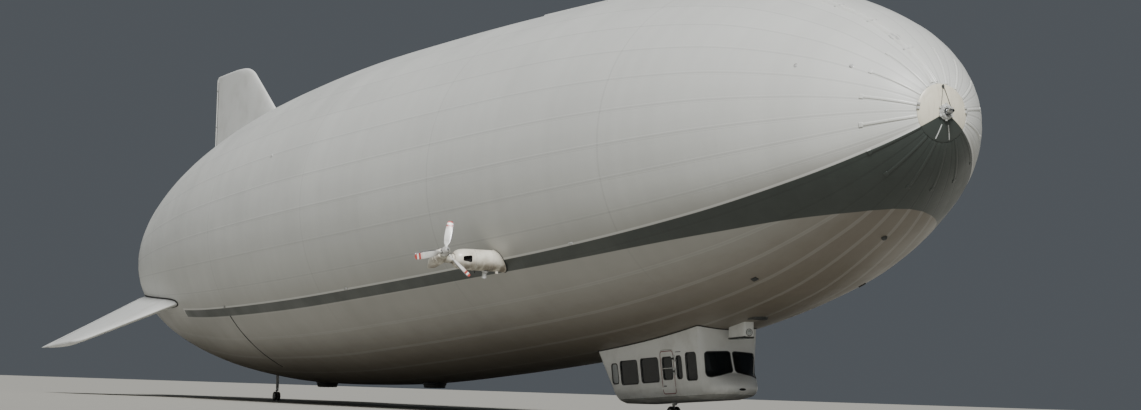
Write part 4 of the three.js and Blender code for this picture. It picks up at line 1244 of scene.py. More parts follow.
# First and last angle from straight ahead, first and last distance out
INTAKE_FIELD = (-37.5, 37.5, 6.75, 7.24)
INTAKE_CORNERS = ((-20, 6.83), (20, 6.83), (13, 7.17), (-13, 7.17))


def pod_radius(out):
    """The pod: a cylinder along y whose outer end falls as an ellipse of power 2.6."""
    t = np.clip((np.asarray(out, float) - POD_SHOULDER) / 0.62, 0, 1)
    return POD["radius"] * (1 - t ** 2.6) ** (1 / 2.6)


def pod_point(angle, out, lift=0.0):
    """A point on the pod: angle is in degrees up from straight ahead, out is the distance from
    the ship's middle."""
    angle, out, lift = same_shape(angle, out, lift)
    radius = pod_radius(out) + lift
    a = np.radians(angle)
    forward = ahead(POD["station"]) + radius * np.cos(a)
    return np.stack([forward, -out, POD["z"] + radius * np.sin(a)], -1)


def pod_patches():
    """The pod's skin in rings, with a cell of rings round the intake, the intake's lining and a
    recessed end."""
    first, last, near, far = INTAKE_FIELD
    angles = first + 7.5 * np.arange(49)
    middle = (ahead(POD["station"]), -6.3, POD["z"])
    inner_rows = np.linspace(POD["inboard"], near, 14)[:, None]
    outer_rows = np.linspace(far, POD["outboard"], 6)[:, None]
    band = np.linspace(near, far, 11)[:, None]
    skins = [pod_point(angles, inner_rows), pod_point(angles, outer_rows), pod_point(angles[10:], band)]
    unit = rounded_outline((0, 0), (1, 1), 0, 10)
    hole = warped(INTAKE_CORNERS, rounded_outline((0, 0), (1, 1), 0.16, 10))
    field = ring_cell(warped(((first, near), (last, near), (last, far), (first, far)), unit), hole, 4)
    field = np.concatenate([field, field[:, :1]], 1)
    skins.append(pod_point(field[..., 0], field[..., 1]))
    patches = [sheet(skin).facing_from(middle) for skin in skins]
    mouth = np.concatenate([hole, hole[:1]])
    depth = np.array([0, -0.012, -0.12])[:, None]
    drawn_in = np.array([1, 0.94, 0.9])[:, None, None]
    centre = hole.mean(0)
    tunnel = centre + (mouth - centre) * drawn_in
    # the intake's lining and back take the near-black finish: painted shade deep in the intake
    lining = sheet(pod_point(tunnel[..., 0], tunnel[..., 1], depth), finish=1)
    inside = pod_point(0, centre[1], -0.06)
    patches.append(lining.facing_from(inside).flipped())
    back = lining.points.reshape(3, -1, 3)[2, :-1]
    patches.append(Patch(back, [np.arange(len(back))[None]], finish=1).facing_from(inside).flipped())
    end = POD["outboard"]
    rim = float(pod_radius(end))
    recess = [(-end - 0.006, rim - 0.012), (-end - 0.004, 0.188), (-end + 0.05, 0.18), (-end + 0.05, 0)]
    closing = turned([(-end + 0.06, 0), (-end + 0.06, rim - 0.02), (-end, rim), *recess], 48,
                     (ahead(POD["station"]), 0, POD["z"]), "y")
    patches.append(closing)
    return patches


def pod_trim():
    """Bands, a beading at the hull, fasteners, a drain and a small bracket."""
    axis_point = (ahead(POD["station"]), 0, POD["z"])
    trim = [tube([(-out - 0.02, 0.378), (-out - 0.018, 0.386), (-out + 0.018, 0.386), (-out + 0.02, 0.378)],
                 64, axis_point, "y") for out in (5.98, 6.66)]
    a = full_turn(60)
    forward = ahead(POD["station"]) + 0.385 * np.cos(a)
    height = POD["z"] + 0.385 * np.sin(a)
    reach = np.sqrt(hull_radius(ahead(forward)) ** 2 - height ** 2)
    for off, thick, finish in ((0, 0.022, 1), (0.04, 0.018, 0)):
        path = np.stack([forward, -reach - off, height], 1)
        trim.append(carried(path, circle(thick, 8), (0, 1, 0), closed=True, finish=finish))
    for angle in range(-60, 300, 30):
        lean = math.degrees(math.atan2(math.cos(math.radians(angle)), math.sin(math.radians(angle))))
        trim.append(bolt_head(0.012, 0.005, "z", 2).spun("y", lean).shifted(*pod_point(angle, 6.66, 0.006)))
    below = pod_point(-90, 6.55)
    trim.append(rod(below + (0, 0, 0.05), below + (-0.03, 0, -0.09), 0.016, 12, 1))
    bracket = pod_point(-70, 5.75)
    trim.append(block(bracket - (0.03, 0.05, 0.12), bracket + (0.03, 0.05, 0.06), 0.012))
    return trim


def exhaust_patches():
    """A pipe with a rolled lip and a near-black disc in its bore as painted shade, leaning aft under the pod."""
    top = (ahead(POD["station"]), -POD["inboard"] - 0.95, POD["z"] - POD["radius"])
    lean = math.degrees(math.atan2(0.12, 0.36))
    pipe = tube([(0.06, 0.072), (0.06, 0.09), (-0.2, 0.09), (-0.225, 0.097), (-0.25, 0.098), (-0.262, 0.09),
                 (-0.262, 0.078), (-0.25, 0.072)], 40, axis="z")
    # a near-black disc inside the pipe: painted shade in the bore
    bore = turned([(-0.12, 0), (-0.12, 0.073), (-0.08, 0.073), (-0.08, 0)], 32, axis="z", finish=1)
    flange = tube([(-0.03, 0.085), (-0.03, 0.125), (-0.012, 0.13), (0.03, 0.13), (0.03, 0.085)], 40, axis="z")
    return [patch.spun("y", lean).shifted(*top) for patch in (pipe, bore, flange)]


def make_nacelles(sizes):
    for side in SIDES:
        shell = mirror_for(side, pod_patches())
        make_piece(f"{side}_nacelle_shell", shell, "pod_paint opening", replaces=f"{side}_nacelle",
                   crease=38)
        make_piece(f"{side}_nacelle_trim", mirror_for(side, pod_trim()),
                   "pod_paint rubber_seal bright_steel")
        make_piece(f"{side}_exhaust_pipe", mirror_for(side, exhaust_patches()), "gear_paint opening",
                   replaces=f"{side}_exhaust")
        dress_node(f"{side}_engine", "cast_metal")


def dress_node(name, finish):
    """A better material for a solid that stays in view."""
    for place in frame["nodes"][name].material_slots:
        place.material = material(finish)


def thrust_patches():
    """The tilting gearbox along x, its tilt axis at the origin: a smoothed teardrop and its neck."""
    face = THRUST["hub"] - 0.2
    r = THRUST["radius"]
    spine = rounded([
        (face, 0.05), (face, 0.8 * r), (face - 0.25, r), (0, r), (-0.55 * THRUST["tail"], 0.75 * r),
        (-THRUST["tail"], 0.18 * r), (-THRUST["tail"], 0)], 0.05)
    body = turned([(face + RUN_GAP - 0.001, 0), (face + RUN_GAP - 0.001, 0.05), *spine], 64)
    reach = THRUST["y"] - POD["outboard"] - 0.004
    neck = turned([(-0.02, 0), (-0.02, 0.16), (reach - 0.08, 0.16), (reach - 0.03, 0.172), (reach, 0.172),
                   (reach, 0)], 48, axis="y")
    rim = 0.995 * r
    seams = [tube([(at - 0.012, rim), (at - 0.01, rim + 0.006), (at + 0.01, rim + 0.006), (at + 0.012, rim)],
                  64)
             for at in (0.17, 0.0)]
    bolts = ring_of(bolt_head(0.011, 0.006, finish=1), (face, 0, 0), 0.15, 10)
    dark_ring = tube([(reach - 0.1, 0.158), (reach - 0.1, 0.166), (reach - 0.085, 0.166),
                      (reach - 0.085, 0.158)],
                     48, axis="y", finish=2)
    return [body, neck, *seams, *bolts, dark_ring]


def tilted(p):
    """From the thrust line's own place to the starboard side of the ship."""
    pivot = np.array([ahead(POD["station"]), -THRUST["y"], POD["z"]])
    return turn_about(p, (0, 0, 0), (0, 1, 0), -THRUST["tilt"]) + pivot


def make_swivels(sizes):
    body = [patch.moved(tilted) for patch in thrust_patches()]
    for side in SIDES:
        make_piece(f"{side}_swivel_fairing", mirror_for(side, body),
                   "pod_paint bright_steel rubber_seal", replaces=f"{side}_swivel", body=f"{side}_swivel",
                   crease=38)
    face = STERN["hub"] - 0.2
    spine = rounded([(face, 0.05), (face, 0.16), (face - 0.1, 0.2), (0, 0.2), (-0.2, 0.14), (-0.2, 0)], 0.04)
    rear = [
        turned([(face + RUN_GAP - 0.001, 0), (face + RUN_GAP - 0.001, 0.05), *spine], 64),
        rod((0, -0.239, 0), (0, 0.239, 0), 0.1, 40, 1),
        *ring_of(bolt_head(0.01, 0.006, finish=1), (face, 0, 0), 0.125, 8),
    ]
    rear = [patch.spun("z", 180).shifted(ahead(STERN["pivot"]), 0, 0) for patch in rear]
    make_piece("rear_swivel_housing", rear, "pod_paint bright_steel", replaces="rear_swivel",
               body="rear_swivel", crease=38)


# A blade's table: share of the radius, chord and angle to the propeller's plane
BLADE = np.array([(0.08, 0.16, 60), (0.22, 0.2, 48), (0.5, 0.27, 32), (0.94, 0.24, 20), (1, 0.15, 18)])


def blade_patch(radius):
    """A twisted blade: the section is an ellipse, fuller above than below, that turns round
    towards the root."""
    share = np.concatenate([np.linspace(0.09, 0.3, 14), np.linspace(0.32, 0.94, 30),
                            [0.96, 0.975, 0.988, 0.996, 1]])
    chord = curve_through(BLADE[:, 0], BLADE[:, 1], share)
    angle = np.radians(curve_through(BLADE[:, 0], BLADE[:, 2], share))
    chord[-5:] = 0.24 * np.sqrt(np.clip(1 - ((share[-5:] - 0.94) / 0.066) ** 2, 0, 1))
    turn = full_turn(28)
    root = np.clip((0.3 - share) / 0.18, 0, 1)[:, None]
    root = root * root * (3 - 2 * root)
    full = np.where(np.sin(turn) > 0, 0.065, 0.03) * (1 + 0.25 * np.cos(turn))
    across = 0.5 * np.cos(turn) * (chord[:, None] * (1 - root) + 0.1 * root)
    thick = np.sin(turn) * (full * chord[:, None] * (1 - root) + 0.045 * root)
    c, s = np.cos(angle)[:, None], np.sin(angle)[:, None]
    points = np.stack([across * s + thick * c, across * c - thick * s,
                       np.broadcast_to(share[:, None] * radius, across.shape)], -1)
    front = np.broadcast_to(0.5 + 0.5 * np.cos(turn), across.shape).ravel()
    shares = np.broadcast_to(share[:, None], across.shape).ravel()
    return lofted(points, blade_share=shares, blade_front=front)


def propeller_patches(radius, turn=0.0):
    """A smooth hub, three blades and a dark collar at each root, with the shaft along x."""
    rear = -0.2 + RUN_GAP
    hub = rounded([(rear, 0.05), (rear, 0.13), (-0.1, 0.16), (0.08, 0.16), (0.2, 0.1), (0.25, 0.0)], 0.05)
    collar = tube([(0.135, 0.04), (0.135, 0.064), (0.142, 0.068), (0.162, 0.068), (0.17, 0.06), (0.17, 0.04)],
                  32, axis="z", finish=1)
    nut = turned([(0.2, 0), (0.2, 0.05), (0.262, 0.045), (0.268, 0)], 24, finish=2)
    blade = blade_patch(radius)
    body = [turned([(rear, 0), *hub], 48)]
    body += [patch.spun("x", angle) for angle in (0, 120, 240) for patch in (blade, collar)]
    return [patch.spun("x", turn) for patch in (*body, nut)]


def make_propellers(sizes):
    side_blades = [patch.moved(lambda p: tilted(p + (THRUST["hub"], 0, 0)))
                   for patch in propeller_patches(SIDE_BLADES["radius"], -SIDE_BLADES["turn"])]
    rear_place = (ahead(STERN["pivot"]) - STERN["hub"], 0, 0)
    rear = [patch.spun("z", 180).shifted(*rear_place) for patch in propeller_patches(SIDE_BLADES["radius"])]
    lateral_place = (ahead(LATERAL["station"]), LATERAL["y"], 0)
    lateral = [patch.spun("z", 90).shifted(*lateral_place) for patch in propeller_patches(LATERAL["radius"])]
    port_blades = mirror_for("port", side_blades)
    blades = {"starboard": side_blades, "port": port_blades, "rear": rear, "lateral": lateral}
    for place, patches in blades.items():
        make_piece(f"{place}_propeller_blades", patches, "blade_paint rubber_seal bright_steel",
                   replaces=f"{place}_propeller", body=f"{place}_propeller", crease=50)


def ear_patch(side):
    """A plate with a round end about the pivot, its edge drawn as half a circle and two straight runs."""
    a = np.linspace(-np.pi / 2, np.pi / 2, 17)
    pivot = ahead(STERN["pivot"])
    foot = ahead(STERN["end"]) + 0.1
    outline = np.concatenate([
        np.stack([pivot - 0.14 * np.cos(a), 0.14 * np.sin(a)], 1), [[foot, 0.14], [foot, -0.14]]])
    low, high = side * 0.28 - 0.04, side * 0.28 + 0.04
    rings = [np.stack([outline[:, 0], np.full(len(outline), y), outline[:, 1]], 1) for y in (low, high)]
    return lofted(np.stack(rings))


def make_stern(sizes):
    table = np.array([(72.2, 1.3), (72.45, 0.82), (72.8, 0.54), (73.5, 0.36)])
    stations = np.linspace(72.205, 73.5, 40)
    skin = np.stack([ahead(stations), curve_through(*table.T, stations)], 1)
    front, end = ahead(72.2), ahead(73.5)
    profile = [(front, 0), (front, 1.27), (front + 0.02, 1.31), (front + 0.005, 1.325), *skin[1:-1],
               (end, 0.34), (end - 0.012, 0.32), (end - 0.012, 0)]
    cone = turned(profile, 112)
    seam = tube([(end + 0.68, 0.55), (end + 0.7, 0.56), (end + 0.73, 0.57), (end + 0.73, 0.54)], 80)
    x = ahead(LATERAL["station"])
    inboard = LATERAL["y"] - 0.2
    strut = turned(rounded([
        (0.3, 0), (0.3, 0.12), (0.66, 0.12), (0.9, 0.12), (inboard - 0.3, 0.12), (inboard - 0.22, 0.135),
        (inboard - 0.03, 0.135), (inboard, 0.1), (inboard, 0.05), (inboard + RUN_GAP - 0.001, 0.05),
        (inboard + RUN_GAP - 0.001, 0)], 0.015), 48, (x, 0, 0), "y")
    root = tube([(0.52, 0.11), (0.52, 0.22), (0.6, 0.17), (0.72, 0.135), (0.8, 0.118)], 48, (x, 0, 0),
                              "y")
    bolts = ring_of(bolt_head(0.014, 0.007, finish=1), (end - 0.014, 0, 0), 0.24, 10)
    make_piece("stern_cone_skin", [cone, seam, strut, root, *bolts], "pod_paint bright_steel",
               replaces="stern_cone", crease=35)
    caps = [rod((ahead(STERN["pivot"]), side * 0.318, 0), (ahead(STERN["pivot"]), side * 0.335, 0),
                0.06, 24, 1) for side in (-1, 1)]
    make_piece("stern_ears", [ear_patch(-1), ear_patch(1), *caps], "pod_paint bright_steel",
               bevel=0.012)
    dress_node("stern_engine", "cast_metal")


CABIN_MIDDLE = (ahead(16.5), 0, -7.5)
NOSE_COUNT = 20                      # samples along each side of a windscreen's field
WINDSCREEN = ((0.05, -7.52), (0.97, -7.74), (0.99, -6.84), (0.05, -6.8))
FLOOR_START = 13.7                   # where the floor's lowest outline starts its nose curve


def half_width(z):
    """The gondola's half width at a height, a cubic through the table."""
    return curve_through(GONDOLA[:, 0], GONDOLA[:, 1], z)


def rear_station(z):
    """The rear wall leans forward towards its foot."""
    return REAR_BOTTOM + (REAR_TOP - REAR_BOTTOM) * (np.asarray(z) - FLOOR_TOP) / (CEILING - FLOOR_TOP)


def side_point(station, z, lift=0.0):
    """Starboard side wall."""
    station, z, lift = same_shape(station, z, lift)
    return np.stack([ahead(station), -(half_width(z) + lift), z], -1)


def nose_point(u, z, lift=0.0):
    """The nose: y is the half width times sin(u) to the power 0.8, the run ahead of the pillar cos(u) to 0.8.

    u goes from -1 at the starboard pillar over 0 at the middle to 1 at the port pillar.
    """
    u, z, lift = same_shape(u, z, lift)
    a = np.abs(u) * np.pi / 2
    start = PILLAR + (FLOOR_START - PILLAR) * np.clip((FLOOR_TOP - z) / 0.12, 0, 1)
    nose = curve_through(GONDOLA[:, 0], GONDOLA[:, 2], z)
    y = np.sign(u) * (half_width(z) + lift) * np.sin(a) ** 0.8
    station = start - (start - nose + lift) * np.maximum(np.cos(a), 0) ** 0.8
    return np.stack([ahead(station), y, z], -1)


def rear_point(q, z, lift=0.0):
    """The rear wall from -1 to 1: a short side run, a quarter circle, the flat, and the same again."""
    q, z, lift = same_shape(q, z, lift)
    a = np.pi / 2 * np.clip((np.abs(q) - 0.8) / 0.17, 0, 1)
    run = np.clip((np.abs(q) - 0.97) / 0.03, 0, 1) * 0.02
    flat = np.clip(np.abs(q) / 0.8, 0, 1)
    inner = half_width(z) - REAR_CORNER
    y = np.sign(q) * (inner * flat + (REAR_CORNER + lift) * np.sin(a))
    station = rear_station(z) - REAR_CORNER + (REAR_CORNER + lift) * np.cos(a) - run
    return np.stack([ahead(station), y, z], -1)


def roof_height(place, q):
    """Where a wall meets the hull, found by repeated steps, 2 cm inside the skin."""
    z = np.full(np.shape(q), -6.2)
    for _ in range(15):
        p = place(q, z)
        z = 0.02 - np.sqrt(hull_radius(LIFT_STATION - p[..., 0]) ** 2 - p[..., 1] ** 2)
    return z


def outline_of(window, grow=0.0, radius=WINDOW_CORNER):
    """A rounded window's outline in station and height."""
    front, rear, bottom, top = window
    return rounded_outline((front - grow, bottom - grow), (rear + grow, top + grow), radius + grow)


def around(outline):
    """An outline with its first point again at its end."""
    return np.concatenate([outline, outline[:1]])


def cell_sheet(place, corners, hole, steps=4):
    """A field of wall between four corners with one opening."""
    unit = rounded_outline((0, 0), (1, 1), 0, len(hole) // 4)
    field = ring_cell(warped(corners, unit), hole, steps)
    field = np.concatenate([field, field[:, :1]], 1)
    return sheet(place(field[..., 0], field[..., 1]))


def pane_sheet(place, outline, lift, steps=6, finish=0):
    """A pane that follows the wall: the outline drawn in ring by ring to its middle."""
    field = ring_cell(around(outline), np.broadcast_to(outline.mean(0), around(outline).shape), steps)
    return sheet(place(field[..., 0], field[..., 1], lift), finish=finish)


def frame_path(place, outline, section, finish=0):
    """A bead carried round an opening on the wall."""
    path = place(outline[:, 0], outline[:, 1])
    lean = place(outline[:, 0], outline[:, 1], 0.1) - path
    return carried(path, section, lean, closed=True, finish=finish)


FLAT_BEAD = rounded_outline((-0.017, -0.012), (0.017, 0.009), 0.006, 4)
THIN_BAND = rounded_outline((-0.016, -0.006), (0.016, 0.004), 0.002, 4)


def side_fields():
    """Each opening with its field's corners, from the front to the rear."""
    fields = []
    for name, (front, rear) in POSTS.items():
        corners = ((front, SILL), (rear, SILL), (rear, LINTEL), (front, LINTEL))
        if name == "door":
            hole = outline_of(DOOR, RUN_GAP, DOOR_CORNER)
        else:
            hole = outline_of(WINDOWS[name])
        fields.append((corners, hole))
    last = POSTS["third"][1]
    corners = ((last, SILL), (rear_station(SILL) - 0.2, SILL), (rear_station(LINTEL) - 0.2, LINTEL),
               (last, LINTEL))
    fields.append((corners, outline_of(WINDOWS["rear"])))
    return fields


def outwards(patches):
    """Patches turned to face away from the cabin."""
    return [patch.facing_from(CABIN_MIDDLE) for patch in patches]


def to_hull(place, q, start, rows):
    """A wall in rows from a starting height up to the hull."""
    return sheet(place(q, start + (roof_height(place, q) - start) * np.linspace(0, 1, rows)[:, None]))


def side_wall_patches():
    """The starboard wall: a field of rings round each opening and a strip that rises to the hull."""
    fields = side_fields()
    patches = [cell_sheet(side_point, corners, hole) for corners, hole in fields]
    tops = [np.linspace(corners[3][0], corners[2][0], 13)[:-1] for corners, _ in fields]
    columns = np.append(np.concatenate(tops), fields[-1][0][2][0])
    last = POSTS["third"][1]
    lean = np.clip((columns - last) / (columns[-1] - last), 0, 1)
    top = roof_height(side_point, columns + 0.4 * lean)
    z = LINTEL + (top - LINTEL) * np.linspace(0, 1, 6)[:, None]
    patches.append(sheet(side_point(columns + lean * (rear_station(z) - rear_station(LINTEL)), z)))
    return outwards(patches)


def door_edge(z):
    """The wall's half width as straight runs between the table's rows, on which the hinges stand."""
    return float(np.interp(z, GONDOLA[:, 0], GONDOLA[:, 1]))


HINGE_HEIGHTS = (-7.0, -7.45)


def hinge_patches(for_door):
    """Knuckles on one line with their feet: the door has the middle one, the wall the two outer ones."""
    x = ahead(DOOR[0])

    def at(z):
        return np.array([x + RUN_GAP / 2, -(door_edge(z) + 0.03), z])

    line = at(-6.9) - at(-7.5)
    line /= np.linalg.norm(line)
    spans = [(-0.038, 0.038)] if for_door else [(-0.12, -0.04), (0.04, 0.12)]
    near, far = (x - 0.09, x - 0.002) if for_door else (x + 0.014, x + 0.09)
    patches = []
    for z in HINGE_HEIGHTS:
        wall = -door_edge(z)
        for low, high in spans:
            patches.append(rod(at(z) + line * low, at(z) + line * high, 0.024, 20))
            patches.append(block((near, wall - 0.042, z + low + 0.008),
                                 (far, wall + 0.015, z + high - 0.008), 0.006))
    return patches


def nose_shell():
    """Both halves of the nose: the windscreen's field, a strip up to the hull and the foot under it."""
    patches = []
    for side in (-1, 1):
        u = side * np.linspace(0, 1, NOSE_COUNT + 1)
        line = -7.62 + (-7.9 + 7.62) * np.abs(u)
        corners = ((0, -7.62), (side, -7.9), (side, -6.66), (0, -6.66))
        patches.append(cell_sheet(nose_point, corners, windscreen_outline(side), 5))
        patches.append(to_hull(nose_point, u, -6.66, 6))
        patches.append(sheet(nose_point(u, line + (SILL - line) * np.linspace(0, 1, 14)[:, None])))
    return outwards(patches)


# Places across the rear wall and the nose where their columns stand
REAR_PLACES = np.concatenate([np.linspace(-1, -0.8, 12), np.linspace(-0.7, 0.7, 11), np.linspace(0.8, 1, 12)])

NOSE_PLACES = np.linspace(-1, 1, 2 * NOSE_COUNT + 1)


def once_round(z, lift=0.0):
    """The gondola's outline at a height: the nose, then the rear wall."""
    return np.concatenate([nose_point(NOSE_PLACES, z, lift), rear_point(REAR_PLACES[::-1], z, lift)])


def roof_seal():
    """A dark beading where the walls meet the hull."""
    stations = np.linspace(PILLAR, 20.55, 60)
    starboard = side_point(stations, roof_height(side_point, stations))
    u, q = NOSE_PLACES[1:-1], REAR_PLACES[1:-1]
    nose_run = nose_point(u, roof_height(nose_point, u))
    rear_run = rear_point(q, roof_height(rear_point, q))
    starboard = starboard[starboard[:, 0] > rear_run[0, 0] + 0.02]
    path = np.concatenate([starboard[::-1], nose_run, starboard * (1, -1, 1), rear_run[::-1]]) - (0, 0, 0.02)
    outward = (path - path.mean(0)) * (1, 1, 0)
    path += 0.012 * outward / np.linalg.norm(outward, axis=1, keepdims=True)
    return carried(path, circle(0.024, 8), (0, 0, 1), closed=True)


def make_gondola_shell(sizes):
    lined = "gondola_paint cabin_lining"
    walls = side_wall_patches()
    for side in SIDES:
        make_piece(f"{side}_wall_panel", mirror_for(side, walls), lined, replaces=f"{side}_wall",
                   wall=WALL, crease=30)
        make_piece(f"{side}_wall_hinges", mirror_for(side, hinge_patches(False)), "gear_paint")
    make_piece("gondola_nose_shell", nose_shell(), lined, replaces="gondola_nose", wall=WALL,
               crease=40)
    rear = outwards([to_hull(rear_point, REAR_PLACES, SILL, 16)])
    make_piece("gondola_rear_panel", rear, lined, replaces="gondola_rear_wall", wall=WALL,
               crease=40)
    hatch = outline_of((-0.42, 0.42, -7.9, -6.95), 0, 0.1)
    hatch = np.stack([hatch[:, 0] / (half_width(hatch[:, 1]) - REAR_CORNER) * 0.8, hatch[:, 1]], 1)
    # three near-black bars: painted shade in the vent slots
    vent = block((-0.014, -0.3, -0.012), (0.02, 0.3, 0.012), 0.006, finish=1)
    vents = [vent.shifted(*rear_point(0, z)) for z in (-8.16, -8.11, -8.06)]
    make_piece("rear_hatch", [frame_path(rear_point, hatch, THIN_BAND), *vents],
               "gondola_paint opening")
    rings = [once_round(z) for z in -8.33 - 0.12 * np.sin(np.linspace(0, np.pi / 2, 9))]
    make_piece("gondola_floor_pan", [lofted(np.stack(rings))], "gondola_paint",
               replaces="gondola_floor", crease=35)
    carpet = np.stack([once_round(z, -0.06) for z in (-8.32, -8.315)])
    make_piece("cabin_carpet", [lofted(carpet)], "cabin_floor")
    make_piece("gondola_roof_seal", [roof_seal()], "rubber_seal")
    dress_node("gondola_roof", "cabin_lining")


def windscreen_outline(side, grow=0.0):
    """One half of the windscreen in the nose's own coordinates."""
    outline = warped(WINDSCREEN,
                     rounded_outline((-grow, -grow), (1 + grow, 1 + grow), 0.12 + grow, NOSE_COUNT))
    share = np.clip(outline[:, 0], 0.002, None) / half_width(outline[:, 1])
    return np.stack([side * 2 / np.pi * np.arcsin(share ** 1.25), outline[:, 1]], 1)


def side_panes(*names, finish=0):
    """Starboard panes behind the named windows."""
    return outwards([pane_sheet(side_point, outline_of(WINDOWS[name], 0.025), -0.028, finish=finish)
                     for name in names])


def make_gondola_windows(sizes):
    panes = {"front": side_panes("cockpit", "forward"),
             "rear": side_panes("second", "third") + side_panes("rear", finish=1)}
    seals = [frame_path(side_point, outline_of(window), FLAT_BEAD) for window in WINDOWS.values()]
    # a near-black block above the forward window: painted shade in a slot
    slot = block((0, -0.008, 0), (0.38, 0.03, 0.022), 0.006, finish=1)
    seals.append(slot.shifted(*side_point(14.8, -6.79)))
    for side in SIDES:
        for place, patches in panes.items():
            make_piece(f"{side}_{place}_panes", mirror_for(side, patches), "window_glass frosted",
                       replaces=f"{side}_{place}_glazing", wall=0.016, crease=60)
        make_piece(f"{side}_window_seals", mirror_for(side, seals), "rubber_seal opening")
    screens = outwards([pane_sheet(nose_point, windscreen_outline(side, 0.02), -0.03, 8) for side in (-1, 1)])
    make_piece("windscreen_panes", screens, "window_glass", replaces="windscreen", wall=0.016,
               crease=60)
    beads = [frame_path(nose_point, windscreen_outline(side), FLAT_BEAD) for side in (-1, 1)]
    a = full_turn(48)
    oval = np.stack([0.06 * np.cos(a), -8.14 + 0.055 * np.sin(a)], 1)
    rim = frame_path(nose_point, oval, rounded_outline((-0.014, -0.02), (0.014, 0.012), 0.008, 4), finish=1)
    # a near-black oval inside the rim: painted shade in a hole
    hole = outwards([pane_sheet(nose_point, oval, 0.004, 4, finish=2)])
    make_piece("windscreen_seals", [*beads, rim, *hole], "rubber_seal gondola_paint opening")


def door_trim():
    """Seal, band, the bar across the window with its catch, and the handle."""
    front, rear, bottom, top = DOOR_WINDOW
    front, rear, middle = ahead(front), ahead(rear), (bottom + top) / 2
    wall, low = side_point(15.4, middle)[1], side_point(15.62, -7.94)[1]
    return [
        frame_path(side_point, outline_of(DOOR_WINDOW), FLAT_BEAD),
        frame_path(side_point, outline_of(DOOR, -0.045, DOOR_CORNER), THIN_BAND, finish=1),
        block((rear - 0.01, wall - 0.006, middle - 0.014), (front + 0.01, wall + 0.03, middle + 0.014),
              0.006, finish=2),
        block((front - 0.07, wall - 0.016, middle - 0.03), (front + 0.005, wall + 0.02, middle + 0.03),
              0.008, finish=3),
        # a near-black block behind the handle: painted shade in its recess
        block((rear - 0.02, low - 0.006, -7.97), (rear + 0.16, low + 0.03, -7.92), 0.012, finish=4),
        rod((rear + 0.01, low - 0.022, -7.945), (rear + 0.13, low - 0.022, -7.945), 0.011, 12, 3),
    ]


def make_doors(sizes):
    outer, hole = outline_of(DOOR, 0, DOOR_CORNER), outline_of(DOOR_WINDOW)
    field = ring_cell(around(outer), around(hole), 7)
    panel = outwards([sheet(side_point(field[..., 0], field[..., 1]))])
    pane = outwards([pane_sheet(side_point, outline_of(DOOR_WINDOW, 0.025), -0.028)])
    trim = door_trim() + hinge_patches(True)
    for side in SIDES:
        body = f"{side}_door"
        make_piece(f"{body}_panel", mirror_for(side, panel), "gondola_paint cabin_lining",
                   replaces=body, body=body, wall=WALL, crease=30)
        make_piece(f"{body}_glass", mirror_for(side, pane), "window_glass", replaces=f"{body}_pane",
                   body=body, wall=0.016, crease=60)
        make_piece(f"{body}_trim", mirror_for(side, trim),
                   "rubber_seal red_band gondola_paint bright_steel opening", body=body)


def cushion(low, high, thin):
    """A stuffed pad: its outline's sides are drawn in a little, and its height follows the root of a sine.

    thin names the axis across which it is thin.
    """
    low, high = np.asarray(low, float), np.asarray(high, float)
    order = {"z": (0, 1, 2), "x": (1, 2, 0)}[thin]
    a, b = low[list(order)], high[list(order)]
    middle, half = (a + b) / 2, (b - a) / 2
    outline = rounded_outline(-half[:2], half[:2], 0.32 * half[:2].min())
    turn = np.arctan2(outline[:, 1] / half[1], outline[:, 0] / half[0])
    outline = outline * (0.975 + 0.025 * np.abs(np.sin(2 * turn)))[:, None]
    lean = np.linspace(-np.pi / 2, np.pi / 2, 19)
    spread = np.cos(lean) ** 0.38
    spread[[0, -1]] = 0
    height = np.sign(lean) * np.abs(np.sin(lean)) ** 0.62 * half[2]
    rings = np.concatenate([
        outline[None] * spread[:, None, None],
        np.broadcast_to(height[:, None, None], (19, len(outline), 1))], 2) + middle
    back = np.argsort(order)
    pad = lofted(rings[..., back])
    path = np.concatenate([outline * 0.995, np.zeros((len(outline), 1))], 1) + middle
    lean_axis = np.zeros(3)
    lean_axis[order[2]] = 1
    return [pad, carried(path[:, back], circle(0.009, 8), lean_axis, closed=True, finish=1)]


def seat_frame(low, high):
    """A post, a pan under the seat, two uprights and an arm on each side, about the seat's foot."""
    post = math.copysign(0.37, low + high)
    frame_parts = [
        block((-0.06, post - 0.05, 0.02), (0.06, post + 0.05, 0.3), 0.02),
        block((-0.2, low + 0.03, 0.27), (0.2, high - 0.03, 0.3), 0.012),
    ]
    frame_parts += [rod((-0.22, y, 0.3), (-0.25, y, 0.9), 0.014, 10) for y in (low + 0.03, high - 0.03)]
    return frame_parts + [block((-0.2, y - 0.018, 0.56), (0.14, y + 0.018, 0.6), 0.014)
                          for y in (low + 0.006, high - 0.006)]


def seat_pads(low, high):
    """A seat, a back and a head rest, about the seat's foot."""
    return [
        *cushion((-0.22, low + 0.03, 0.3), (0.22, high - 0.03, 0.42), "z"),
        *cushion((-0.26, low + 0.03, 0.42), (-0.15, high - 0.03, 0.82), "x"),
        *cushion((-0.255, low + 0.1, 0.83), (-0.165, high - 0.1, 0.98), "x"),
    ]


# Seats: stations of the rows, and the rails' front and rear stations
SEATS = {"passenger": ((16.4, 17.35, 18.3), (16.1, 18.7)), "pilot": ((14.1,), (13.8, 14.5))}


